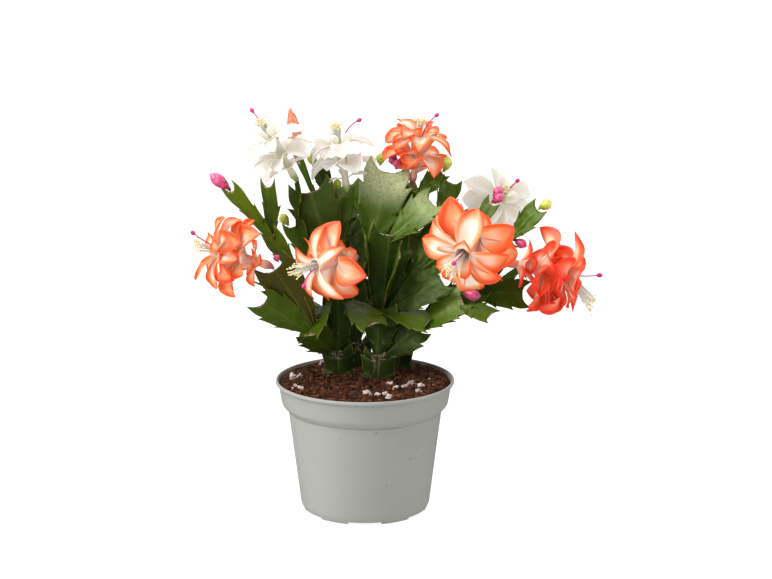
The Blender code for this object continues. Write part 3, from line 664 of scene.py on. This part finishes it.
def make_bloom(name, source, turn, rise, spin, size, colour, sweep):
    """A bloom facing along its tube, spun about it, with whorls of petals, stamens and a sweeping style."""
    along, across, upper = axes(turn, rise, spin)
    base = seat(source, along, BLOOM_FOOT * size)
    stations = [(seat(source, along, BLOOM_NECK * size), BLOOM_NECK * size)]
    for height, radius in BLOOM_BODY[1:] + BLOOM_THROAT:
        stations.append((base + height * size * along, radius * size))
    parts = [bloom_body(name, stations, across, upper, TUBES[colour])]
    wobble, extra = random.Random(name), random.Random(name + "extra")

    def add_petal(label, turn, height, radius, lean, curl, length, width, cup):
        radial = math.cos(turn) * across + math.sin(turn) * upper
        root = base + height * size * along + radius * size * radial
        parts.append(petal(label, root, along, radial, size, lean, curl, length, width, cup, PETALS[colour],
                           extra))

    slender = SLENDER.get(name, (1, 1, 1))
    for tier, (count, height, radius, lean, curl, length, width, cup) in enumerate(WHORLS):
        width *= slender[tier]
        for i in range(count):
            angle = math.tau * (i + .5 * tier) / count + math.radians(wobble.uniform(-8, 8))
            rise_here = height + wobble.uniform(-1, 1)
            bend = lean + wobble.uniform(-8, 8), curl + wobble.uniform(-12, 12)
            reach = length * wobble.uniform(.92, 1.06)
            add_petal(f"{name}_{tier}_{i}", angle, rise_here, radius, *bend, reach, width, cup)
        fillers, share = FILLERS[tier] if slender[tier] > SLIMMEST else (0, 1)
        for i in range(fillers):
            angle = math.tau * (i + .5 * tier + .5) / max(count, fillers)
            angle += math.radians(extra.uniform(-14, 14))
            bend = lean - 4 + extra.uniform(-8, 8), curl + extra.uniform(-14, 8)
            reach = length * share * extra.uniform(.9, 1.04)
            add_petal(f"{name}_{tier}_more_{i}", angle, height + extra.uniform(-2, 0), radius, *bend, reach,
                      width * .92, cup)
            for round_more in range(FULL.get(name, 0)):
                turned = angle + extra.uniform(-.5, .5)
                less = bend[0] - extra.uniform(5, 18), bend[1] - extra.uniform(15, 45)
                add_petal(f"{name}_{tier}_full_{i}_{round_more}", turned, height, radius, *less, reach,
                          width, cup)
    count, height, radius, lean, curl, length, width, cup = INNER
    for i in range(count if slender[2] > SLIMMEST else 0):
        angle = math.tau * i / count + math.radians(extra.uniform(-25, 25))
        add_petal(f"{name}_inner_{i}", angle, height, radius, lean + extra.uniform(-10, 10),
                  curl + extra.uniform(-20, 20), length * extra.uniform(.85, 1.1), width, cup)
    one_piece(name + "_petals", parts, "petal_" + colour, name)
    mouth = base + (MOUTH * size + SEAT_GAP) * along
    turn, amount = map(math.radians, sweep)
    aside = math.cos(turn) * upper + math.sin(turn) * across
    droop = DROOPS.get(name, .1)
    make_stamens(name, mouth - STAMENS_ASIDE * size * aside, along, across, upper, size, droop)
    make_style(name, mouth + STYLE_ASIDE * size * aside, along, aside, size, amount)


def make_stamens(name, foot, along, across, upper, size, droop):
    """Thin white filaments in a loose bundle, each with a cream anther at its end."""
    chance, parts = random.Random(name + "stamens"), []
    for i in range(STAMENS):
        turn, spread = chance.uniform(0, math.tau), chance.random() ** .6
        out = math.cos(turn) * across + math.sin(turn) * upper
        length = chance.uniform(10.5, 17) * size
        centres = []
        for t in np.linspace(0, 1, THREAD_RINGS):
            point = foot + (1.3 * spread + (4.4 * spread * t ** 1.6) * length / 17) * size * out
            point = point + along * ((length + 5) * t - 5) - np.array([0, 0, droop * length * t ** 2])
            centres.append(point)
        sides = turned_frames(centres, out)
        parts.append(swept(FILAMENT, f"{name}_{i}", centres, [FILAMENT_RADIUS] * THREAD_RINGS, *sides, THREAD,
                           tint=(i / STAMENS, 0, 0)))
        ahead = unit(centres[-1] - centres[-2])
        wide, long = chance.uniform(.48, .66), chance.uniform(.75, 1.1)
        grain = np.stack([sides[0][-1] * wide, sides[1][-1] * wide, ahead * long])
        place = set_at(centres[-1] + ahead * .4, grain)
        parts.append(shaped(TUFT, f"{name}_anther_{i}", place, ANTHER, tint=(chance.random(), 0, 0)))
    one_piece(name + "_thread_bundle", parts, "stamen_cream", name + "_stamens")


def make_style(name, foot, along, aside, size, amount):
    """A slim tapering style that bends to one side, with a lobed stigma at its end."""
    centre, centres = np.array(foot, float), []
    for step in range(STYLE_STEPS + 1):
        share = step / STYLE_STEPS
        angle = .12 + amount * min(2, .45 + 1.9 * share)
        centres.append(centre)
        ahead = math.cos(angle) * along + math.sin(angle) * aside
        centre = centre + ahead * STYLE_LENGTH * size / STYLE_STEPS
    radii = [STYLE_RADIUS - .1 * i / STYLE_STEPS for i in range(STYLE_STEPS + 1)]
    radii[-5:] = [.38 * share * math.sqrt(size) for share in STIGMA]
    sides = turned_frames(centres, aside)

    def lobes(turn, share):
        return 1 + .16 * np.cos(5 * turn) * (share > .8)

    part = swept(STYLE, name, centres, radii, *sides, MAGENTA, lobes, tint=rising(STYLE_STEPS))
    one_piece(name + "_pistil", [part], "style_magenta", name + "_style")


def spindle(name, start, base, along, across, upper, length, width, shape, neck, finish, scales, scale_size):
    """The parts of one bud: a smooth spindle wrapped in overlapping pointed scales."""
    shares = np.linspace(0, 1, BUD_RINGS)
    centres = [base + share * length * along for share in shares]
    centres[0] = start
    radii = np.maximum(np.interp(shares, *zip(*shape)) * width * .94, .35)
    radii[0] = neck
    parts = [swept(BUD_BLANK, name, centres, radii, across, upper, finish, tint=rising(BUD_RINGS))]
    chance = random.Random(name + "scales")
    for i in range(scales):
        tier = i * 3 // scales
        middle = math.tau * i * GOLDEN_TURN + chance.uniform(-.2, .2)
        low = .06 + .12 * tier + chance.uniform(0, .04)
        high = min(.97, low + scale_size * chance.uniform(.9, 1.1))
        spread = chance.uniform(.85, 1.05)
        flare = chance.uniform(.1, .5) * width / 8

        def place(x, y, z, middle=middle, low=low, high=high, spread=spread, flare=flare):
            v = (y + 1) / 2
            share = low + (high - low) * v
            angle = middle + x * spread * petal_width(v)
            radius = np.interp(share, shares, radii)
            radius = radius + .12 + z * .25 + flare * v ** 3 - .25 * np.abs(x) ** 2 * (1 - v) + .1 * (1 - v)
            side = np.outer(np.cos(angle), across) + np.outer(np.sin(angle), upper)
            return base + np.outer(share * length, along) + radius[:, None] * side

        parts.append(shaped(SCALE, f"{name}_scale_{i}", place, finish, tint=lengthwise))
    return parts


def make_bud(name, source, turn, rise, length, width, colour):
    """A bud, or a cluster of small ones in the place of one."""
    along, across, upper = axes(turn, rise)
    base, start = seat(source, along, BUD_FOOT * width), seat(source, along, BUD_NECK)
    parts = []
    for i, (aside, above, lean, long, wide) in enumerate(CLUSTERS.get(name, [(0, 0, 0, 1, 1)])):
        lean = math.radians(lean)
        ahead = unit(math.cos(lean) * along - math.sin(lean) * across)
        beside = math.cos(lean) * across + math.sin(lean) * along
        foot = base + aside * width * across + above * length * along
        begin = start if i == 0 and not above else foot - .4 * ahead
        parts += spindle(f"{name}_{i}", begin, foot, ahead, beside, upper, length * long, width * wide, BUD,
                         BUD_NECK, BUD_FINISHES[colour], *BUD_SCALES)
    if name in CLUSTERS:
        stalk = [start, (start + base) / 2, base + .15 * length * along, base + .35 * length * along]
        parts.append(swept(STALK, name + "_stalk", stalk, [BUD_NECK, 1.2, 1.5, 1.1], across, upper,
                           BUD_FINISHES[colour], tint=(0, 0, 0)))
    one_piece(name + "_scales", parts, "bud_" + colour, name)


def make_closed_bloom(name, source, turn, rise, length, width):
    along, across, upper = axes(turn, rise)
    base, start = seat(source, along, CLOSED_FOOT), seat(source, along, BLOOM_NECK)
    parts = spindle(name, start, base, along, across, upper, length, width, CLOSED, BLOOM_NECK, CLOSED_CORAL,
                    *CLOSED_SCALES)
    one_piece(name + "_scales", parts, "petal_orange", name)


# --- Pot and soil ---

def draw_up(sides, profile):
    """Draws a closed form up from a disc by a profile of radii and heights, and leaves it in edit mode."""
    bare_selection()
    radius, height = profile[0]
    bpy.ops.mesh.primitive_circle_add(vertices=sides, radius=radius * MM, fill_type="NGON",
                                      location=(0, 0, height * MM))
    bpy.ops.object.mode_set(mode="EDIT")
    bpy.ops.mesh.select_all(action="SELECT")
    for wider, higher in profile[1:]:
        bpy.ops.mesh.extrude_region_move(TRANSFORM_OT_translate={"value": (0, 0, (higher - height) * MM)})
        bpy.ops.transform.resize(value=(wider / radius, wider / radius, 1), center_override=(0, 0, 0))
        radius, height = wider, higher
    bpy.ops.mesh.select_all(action="SELECT")
    bpy.ops.mesh.normals_make_consistent(inside=False)


def make_pot():
    """The pot is drawn out from under its foot, up the wall, over the lip and down inside to the floor."""
    draw_up(POT_SIDES, POT_PROFILE)
    bpy.ops.object.mode_set(mode="OBJECT")
    pot = bpy.context.object
    bpy.ops.object.transform_apply(location=True, rotation=True, scale=True)
    cutters = [foot_notch(i) for i in range(FOOT_NOTCHES)] + [drain_hole(i) for i in range(DRAIN_HOLES)]
    for cutter in cutters:
        bare_selection()
        bpy.context.view_layer.objects.active = pot
        cut = pot.modifiers.new("Cut", "BOOLEAN")
        cut.operation, cut.solver, cut.object = "DIFFERENCE", "EXACT", cutter
        bpy.ops.object.modifier_apply(modifier="Cut")
        bpy.data.objects.remove(cutter)
    pot.select_set(True)
    bpy.ops.object.shade_smooth_by_angle(angle=math.radians(SMOOTH_ANGLE))
    pot.data.materials.clear()
    pot.data.materials.append(POT_PLASTIC)
    pot.name = pot.data.name = "nursery_pot"
    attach(pot, "root")
    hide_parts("pot")


def on_ring(radius, angle, height=0):
    """A place round the pot's axis."""
    return radius * math.cos(angle) * MM, radius * math.sin(angle) * MM, height * MM


def foot_notch(i):
    angle = -math.pi / 2 + math.tau * i / FOOT_NOTCHES
    bare_selection()
    bpy.ops.mesh.primitive_cube_add(size=1, rotation=(0, 0, angle), location=on_ring(FOOT_RING, angle))
    bpy.context.object.scale = (NOTCH_REACH * MM, NOTCH_WIDTH * MM, 2 * NOTCH_HEIGHT * MM)
    bpy.ops.object.transform_apply(location=True, rotation=True, scale=True)
    return bpy.context.object


def drain_hole(i):
    place = on_ring(DRAIN_RING, math.tau * (i + .5) / DRAIN_HOLES, DRAIN_HEIGHT)
    bare_selection()
    bpy.ops.mesh.primitive_cylinder_add(vertices=DRAIN_SIDES, radius=DRAIN_RADIUS * MM,
                                        depth=DRAIN_DEPTH * MM, location=place)
    bpy.ops.object.transform_apply(location=True, rotation=True, scale=True)
    return bpy.context.object


def soil_height(x, y):
    """Height of the crumbly surface at a place, in mm: nearly level, with soft lumps."""
    lump = noise.noise((x / 14, y / 14, 0)) * .9 + noise.noise((x / 5, y / 5, 4)) * .7
    share = math.hypot(x, y) / SOIL_REACH
    return SOIL_TOP + (SOIL_EDGE - SOIL_TOP) * share ** 3 + lump * (1 - .6 * share ** 4)


def make_soil():
    """A block of soil with a rough top, crumbs and fibres strewn over it, and white grains of perlite."""
    rings = [(SOIL_REACH * (1 - (i - .6) / SOIL_RINGS), SOIL_DRAWN) for i in range(1, SOIL_RINGS)]
    draw_up(SOIL_SIDES, SOIL_PROFILE + rings)
    block = put_away("soil_blank")
    points = points_of(block.data) / MM

    def place(x, y, z):
        rough = points.copy()
        for point in rough:
            if point[2] > SOIL_ROUGH:
                across, away = point[:2]
                fine = noise.noise((across / 1.7, away / 1.7, 9)) * .7 + noise.noise((across, away, 2)) * .4
                point[2] = soil_height(across, away) + fine
        return rough

    parts = [shaped(block, "soil_block", place, PEAT, tint=(.3, 0, 0))]
    parts += crumbs() + fibres()
    one_piece("peat", parts, "potting_soil", "soil")
    one_piece("perlite", perlite(), "potting_soil")


def strewn(chance, reach):
    """A place on the soil, clear of the rim."""
    radius, turn = reach * math.sqrt(chance.random()), chance.uniform(0, math.tau)
    x, y = radius * math.cos(turn), radius * math.sin(turn)
    return x, y, soil_height(x, y)


def lump(chance, centre, size, rough, spread=((.8, 1.25), (.8, 1.25), (.75, 1.1))):
    """Shapes a ball into a small uneven lump."""
    stretch = np.array([chance.uniform(*reach) for reach in spread]) * size
    turn = chance.uniform(0, math.tau)
    shift = chance.uniform(0, 90)

    def place(x, y, z):
        dents = np.array([1 + rough * noise.noise((a * 1.4 + shift, b * 1.4, c * 1.4))
                          for a, b, c in zip(x, y, z)])
        x, y, z = x * dents * stretch[0], y * dents * stretch[1], z * dents * stretch[2]
        east, north = x * math.cos(turn) - y * math.sin(turn), x * math.sin(turn) + y * math.cos(turn)
        return centre + np.stack([east, north, z], axis=1)

    return place


def crumbs():
    """Crumbs of soil, and one flat chip of bark near the front."""
    chance, parts = random.Random(31), []
    for i in range(CRUMBS):
        size = .3 + 1.5 * chance.random() ** 3.5
        x, y, top = strewn(chance, SOIL_REACH - .4 - size)
        place = lump(chance, np.array([x, y, top + .2 * size]), size, 1.3, ((.5, 1.9), (.4, 1.2), (.4, 1.1)))
        parts.append(shaped(TUFT, f"crumb_{i}", place, PEAT, tint=(chance.random(), 0, 0)))
    x, y, size = CHIP
    flat = lump(chance, np.array([0, 0, 0]), 1, .5)

    def chip(a, b, c):
        return np.array([x, y, soil_height(x, y) + .9]) + flat(a, b, c) * np.array([.45, .62, .2]) * size

    parts.append(shaped(BALL, "bark_chip", chip, PEAT, tint=(1.1, 0, 0)))
    return parts


def fibres():
    chance, parts = random.Random(47), []
    for i in range(FIBRES):
        length = 1.2 + 5 * chance.random() ** 2.5
        x, y, top = strewn(chance, SOIL_REACH - length / 2 - 1)
        turn, bow, tilt = chance.uniform(0, math.tau), chance.uniform(-.8, .8), chance.uniform(-.3, .4)
        ahead = np.array([math.cos(turn), math.sin(turn), tilt])
        side = np.array([-math.sin(turn), math.cos(turn), 0])
        middle = np.array([x, y, top + .5])
        centres = [middle + ahead * (t - .5) * length + side * bow * (1 - (2 * t - 1) ** 2)
                   for t in np.linspace(0, 1, THREAD_RINGS)]
        sides = turned_frames(centres, [0, 0, 1])
        radii = [chance.uniform(.1, .26)] * THREAD_RINGS
        parts.append(swept(FILAMENT, f"fibre_{i}", centres, radii, *sides, PEAT,
                           tint=(chance.uniform(.5, 1), 0, 0)))
    return parts


def perlite():
    """White grains, and at the back one that has broken into a ring."""
    chance, parts = random.Random(5), []
    for i, (x, y, size) in enumerate(PERLITE):
        centre = np.array([x, y, soil_height(x, y) + .2 * size])
        place = lump(chance, centre, size * .6, .8)
        parts.append(shaped(BALL, f"perlite_{i}", place, PERLITE_WHITE, tint=(chance.random(), 0, 0)))
    x, y, radius = RING_GRAIN
    for i in range(RING_BITS):
        turn = math.tau * i / RING_BITS
        centre = np.array([x + radius * math.cos(turn), y + radius * math.sin(turn), soil_height(x, y) + .8])
        place = lump(chance, centre, .8, .8)
        parts.append(shaped(TUFT, f"ring_grain_{i}", place, PERLITE_WHITE, tint=(chance.random(), 0, 0)))
    return parts


# --- Finishes ---

class Finish:
    """A material, its shader, and short names for the nodes that colour it. A value may be a socket."""

    def __init__(self, name, roughness, **sockets):
        self.material = bpy.data.materials.new(name)
        self.material.use_nodes = True
        self.tree = self.material.node_tree
        self.shader = self.tree.nodes["Principled BSDF"]
        self.set(Roughness=roughness, **sockets)

    def feed(self, socket, value):
        if isinstance(value, bpy.types.NodeSocket):
            self.tree.links.new(value, socket)
        else:
            socket.default_value = value

    def set(self, **sockets):
        for socket, value in sockets.items():
            self.feed(self.shader.inputs[socket.replace("_", " ")], value)

    def node(self, kind, **settings):
        """A shader node. settings are its own properties, or what goes into its sockets."""
        made = self.tree.nodes.new("ShaderNode" + kind)
        for key, value in settings.items():
            if hasattr(made, key):
                setattr(made, key, value)
            else:
                self.feed(made.inputs[key.replace("_", " ")], value)
        return made

    def sums(self, operation, *values, clamp=False):
        made = self.node("Math", operation=operation, use_clamp=clamp)
        for socket, value in zip(made.inputs, values):
            self.feed(socket, value)
        return made.outputs[0]

    def times(self, first, second):
        return self.sums("MULTIPLY", first, second)

    def plus(self, first, second, clamp=False):
        return self.sums("ADD", first, second, clamp=clamp)

    def swing(self, value, middle, amount):
        """How far a value is off this middle, times an amount."""
        return self.times(self.sums("SUBTRACT", value, middle), amount)

    def step(self, value, low, high):
        """0 up to the low value and 1 from the high one on, with a smooth rise between."""
        return self.node("MapRange", Value=value, interpolation_type="SMOOTHSTEP", From_Min=low,
                         From_Max=high).outputs[0]

    def layered(self, colour, *layers):
        """A colour with others laid over it. Each layer is how strongly it shows, and its colour."""
        for share, tone in layers:
            mix = self.node("Mix", data_type="RGBA")
            under = (*colour, 1) if isinstance(colour, tuple) else colour
            for index, value in ((0, share), (6, under), (7, (*tone, 1))):
                self.feed(mix.inputs[index], value)
            colour = mix.outputs[2]
        return colour

    def place(self):
        return self.node("TexCoord").outputs["Object"]

    def grain(self, scale, detail=2.):
        """Noise on the piece's own coordinates. scale is in cells a metre."""
        return self.node("TexNoise", Vector=self.place(), Scale=scale, Detail=detail).outputs["Fac"]

    def tint(self):
        marks = self.node("Attribute", attribute_name="tint").outputs["Vector"]
        return self.node("SeparateXYZ", Vector=marks).outputs

    def blade(self):
        """0 at a blade's middle to 1 at its margins, 0 to 1 from root to tip, and both as they are drawn."""
        place = self.node("UVMap", uv_map="UVMap").outputs[0]
        u, v, _ = self.node("SeparateXYZ", Vector=place).outputs
        return self.sums("ABSOLUTE", self.sums("SUBTRACT", self.times(u, 2.), 1.)), v, place

    def dots(self, scale, size, rarity):
        """Small round dots, one to a cell, and in this share of the cells none."""
        cells = self.node("TexVoronoi", Vector=self.place(), Scale=scale).outputs
        chance = self.node("SeparateColor", Color=cells["Color"]).outputs[0]
        inside = self.sums("LESS_THAN", cells["Distance"], size)
        return self.times(inside, self.step(chance, rarity, rarity + .02))

    def done(self, colour, height, strength, distance=.0004):
        """The material, with its colour and with bumps of this height."""
        bump = self.node("Bump", Height=height, Strength=strength, Distance=distance)
        self.set(Base_Color=colour, Normal=bump.outputs["Normal"])
        return self.material


def leaf_finish():
    """Waxy green: bright when young and darker where painted shade is set, bronzed in strong light, with a
    painted whitish sheen on some, and a thin tan margin.
    """
    leaf = Finish("waxy_leaf", .36, IOR=1.45, Specular_IOR_Level=.28, Specular_Tint=(.85, 1, .6, 1))
    age_and_painted_shade, bronze, painted_sheen = leaf.tint()
    edge, along, _ = leaf.blade()
    fine = leaf.grain(650., 4.)
    # Brightness from the first tint value: age, and painted shade on the segments in the plant's dark middle.
    shade = leaf.plus(age_and_painted_shade, leaf.swing(leaf.grain(75., 3.), .5, .55))
    shade = leaf.plus(shade, leaf.swing(along, .5, .2), clamp=True)
    # Painted sheen: mottled whitish patches on the outer half of some blades, painted in for the reflection
    # of the light on their wax.
    painted_sheen_patches = leaf.times(leaf.step(leaf.grain(600., 5.), -.2, .85), leaf.step(along, .48, .85))
    rim = leaf.times(leaf.step(edge, .93, 1.), leaf.step(leaf.grain(160., 3.), .36, .6))
    rib, flecks, dots = leaf.step(edge, .1, 0.), leaf.step(fine, .6, .75), leaf.dots(170., .06, .45)
    green = leaf.layered((.005, .019, .0006), (shade, (.078, .146, .003)),
                         (leaf.times(bronze, .85), (.065, .052, .007)),
                         (leaf.times(rib, .16), (.14, .22, .04)), (leaf.times(flecks, .18), (.16, .22, .06)),
                         (leaf.times(painted_sheen_patches, painted_sheen), (.56, .63, .35)), (leaf.times(rim, .6), (.24, .2, .03)),
                         (leaf.times(dots, .55), (.36, .34, .12)))
    leaf.set(Roughness=leaf.plus(.26, leaf.times(leaf.grain(180., 3.), .24)))
    return leaf.done(green, leaf.plus(leaf.grain(140., 2.), leaf.times(fine, .12)), .35, .0025)


def petal_finish(name, root, pale, mid, deep, veins, thin, spread, inner):
    """A soft petal: pale along its middle, deeper towards its tip and margins, with fine veins, and a painted
    glow in its own colour.
    """
    soft = Finish(name, .5, Subsurface_Weight=thin, Subsurface_Scale=.004, Subsurface_Radius=spread,
                  Emission_Strength=inner)
    edge, along, place = soft.blade()
    drawn_out = soft.node("Mapping", Vector=place, vector_type="POINT", Scale=(30, 1.4, 1)).outputs[0]
    streak = soft.node("TexNoise", Vector=drawn_out, Scale=1., Detail=3.).outputs["Fac"]
    margins = soft.times(soft.step(edge, .25, 1.), soft.step(along, -.2, .6))
    depth = soft.plus(soft.times(margins, .8), soft.times(soft.step(along, .5, 1.), .7))
    depth = soft.plus(depth, soft.swing(streak, .5, veins))
    depth = soft.plus(depth, soft.swing(soft.tint()[0], .4, .4), clamp=True)
    colour = soft.layered(pale, (soft.step(depth, 0., .5), mid), (soft.step(depth, .45, 1.), deep),
                          (soft.step(along, .3, 0.), root))
    # Painted glow: the petal gives off light in its own colour, which lightens its shaded side.
    soft.set(Emission_Color=colour)
    return soft.done(colour, streak, .3)


def tube_finish(name, foot, stem, mouth):
    """The tube of a bloom, from its green or pink foot to its mouth."""
    tube = Finish(name, .45, Subsurface_Weight=.1, Subsurface_Scale=.002)
    share = tube.tint()[0]
    colour = tube.layered(foot, (tube.step(share, .12, .35), stem), (tube.step(share, .35, .65), mouth),
                          (tube.times(tube.grain(350.), .18), (.7, .68, .62)))
    return tube.done(colour, tube.grain(700.), .15)


def bud_finish(name, root, body, tip):
    bud = Finish(name, .36, Subsurface_Weight=.08, Subsurface_Scale=.002, Coat_Weight=.15)
    share = bud.tint()[0]
    colour = bud.layered(root, (bud.step(share, 0., .4), body), (bud.step(share, .6, 1.), tip),
                         (bud.times(bud.step(bud.grain(500., 3.), .4, .8), .3), tip))
    return bud.done(colour, bud.grain(800.), .2)


def grainy_finish(name, roughness, dark, light, scale, strength, **sockets):
    """A finish whose colour wanders between two tones from bump to bump and from piece to piece."""
    made = Finish(name, roughness, **sockets)
    spread = made.plus(made.times(made.tint()[0], .6), made.times(made.grain(scale, 4.), .6))
    colour = made.layered(dark, (made.step(spread, .2, .95), light))
    return made.done(colour, made.grain(scale * 2, 4.), strength)


def pot_finish():
    """Matte moulded plastic, faintly uneven in gloss, with scattered dark specks."""
    matte = Finish("pot_plastic", .46, IOR=1.45)
    colour = matte.layered((.268, .272, .252), (matte.grain(25.), (.3, .303, .279)),
                           (matte.times(matte.dots(110., .07, .25), .7), (.08, .075, .07)))
    matte.set(Roughness=matte.plus(.4, matte.times(matte.grain(60., 3.), .14)))
    return matte.done(colour, matte.grain(1500.), .06)


def wool_finish():
    wool = Finish("areole_wool", .85, Sheen_Weight=.4)
    blush, chance, _ = wool.tint()
    colour = wool.layered((.07, .04, .015), (wool.step(chance, -1., 1.), (.42, .29, .17)),
                          (wool.times(blush, .8), (.42, .04, .13)))
    return wool.done(colour, wool.grain(2500., 3.), .6)


# --- Stage ---

def make_stage():
    """A pale floor, soft light from the left and above, and a camera slightly above the rim."""
    bare_selection()
    bpy.ops.mesh.primitive_plane_add(size=FLOOR_SIZE, location=(0, 0, 0))
    floor = bpy.context.object
    floor.name = "floor"
    made = Finish("floor", .9, Base_Color=(.2, .2, .2, 1), Emission_Color=(1, 1, 1, 1),
                  Emission_Strength=FLOOR_GLOW)
    floor.data.materials.append(made.material)
    floor.visible_glossy = False
    world = bpy.data.worlds.new("studio")
    world.use_nodes = True
    light = world.node_tree.nodes["Background"].inputs
    light["Color"].default_value = (1, .98, .95, 1)
    light["Strength"].default_value = WORLD_LIGHT
    bpy.context.scene.world = world
    for name, turn, rise, spread, strength in SUNS:
        place = [10 * direction for direction in axes(turn, rise)[0]]
        lamp = lamp_at(name, "SUN", place, (0, 0, 0), strength)
        lamp.data.angle = math.radians(spread)
    for name, place, aim, size, power in SOFTBOXES:
        lamp = lamp_at(name, "AREA", place, aim, power)
        lamp.data.size = size
        lamp.visible_camera = False
    bpy.ops.object.camera_add(location=CAMERA_PLACE, rotation=(math.pi / 2 - CAMERA_PITCH, 0, 0))
    camera = bpy.context.object
    camera.data.lens, camera.data.sensor_width = CAMERA_LENS, SENSOR
    bpy.context.scene.camera = camera
    bpy.context.scene.view_settings.view_transform = "Standard"


def lamp_at(name, kind, place, aim, power):
    bpy.ops.object.light_add(type=kind, location=place)
    lamp = bpy.context.object
    lamp.name = name
    lamp.data.energy = power
    back = unit(np.array(place) - np.array(aim))
    lamp.rotation_euler = (math.acos(back[2]), 0, math.atan2(back[0], -back[1]))
    return lamp


LEAF = leaf_finish()
WOOL = wool_finish()
PETALS = {colour: petal_finish("petal_" + colour, *tones) for colour, tones in PETAL_TONES.items()}
TUBES = {
    "orange": tube_finish("tube_coral", (.36, .05, .07), (.74, .38, .26), (.78, .6, .5)),
    "red": tube_finish("tube_red", (.32, .04, .06), (.7, .22, .14), (.76, .5, .4)),
    "white": tube_finish("tube_white", (.3, .4, .05), (.76, .74, .56), (.82, .77, .72)),
}
BUD_FINISHES = {
    "pink": bud_finish("bud_pink", (.26, .015, .05), (.62, .05, .17), (.72, .16, .32)),
    "green": bud_finish("bud_green", (.2, .3, .02), (.52, .6, .06), (.7, .72, .2)),
}
CLOSED_CORAL = bud_finish("closed_coral", (.36, .05, .07), (.76, .3, .19), (.74, .17, .07))
THREAD = grainy_finish("stamen_thread", .5, (.7, .67, .58), (.8, .78, .72), 300., .1)
ANTHER = grainy_finish("anther_cream", .7, (.74, .58, .26), (.86, .78, .5), 900., .4)
MAGENTA = grainy_finish("style_magenta", .35, (.34, .004, .08), (.48, .02, .17), 300., .1)
PEAT = grainy_finish("peat", .95, (.0022, .0008, .0004), (.11, .038, .015), 500., .9, Specular_IOR_Level=.15)
PERLITE_WHITE = grainy_finish("perlite_white", .9, (.26, .2, .17), (.56, .49, .45), 900., 1.)
POT_PLASTIC = pot_finish()

LEAF_BLANKS = {}
for shape in (SLIM, BROAD):
    teeth = len(shape["teeth"])
    LEAF_BLANKS[teeth] = blade_blank(f"leaf_blank_{teeth}", segment_rows(shape), LEAF_COLUMNS)
PETAL = blade_blank("petal_blank", PETAL_ROWS, PETAL_COLUMNS)
SCALE = blade_blank("scale_blank", SCALE_ROWS, SCALE_COLUMNS)
FILAMENT = rod_blank("filament_blank", THREAD_SIDES, THREAD_RINGS)
STYLE = rod_blank("style_blank", STYLE_SIDES, STYLE_STEPS + 1)
BUD_BLANK, STALK = rod_blank("bud_blank", BUD_SIDES, BUD_RINGS), rod_blank("stalk_blank", STALK_SIDES, 4)
TUFT, BALL = ball_blank("tuft_blank", 1), ball_blank("ball_blank", 3)

SEGMENTS = {}
make_stage()
for cutting in CUTTINGS:
    grow_cutting(*cutting)
for bloom in BLOOMS:
    make_bloom(*bloom)
for bud in BUDS:
    make_bud(*bud)
make_closed_bloom(*CLOSED_BLOOM)
make_soil()
make_pot()
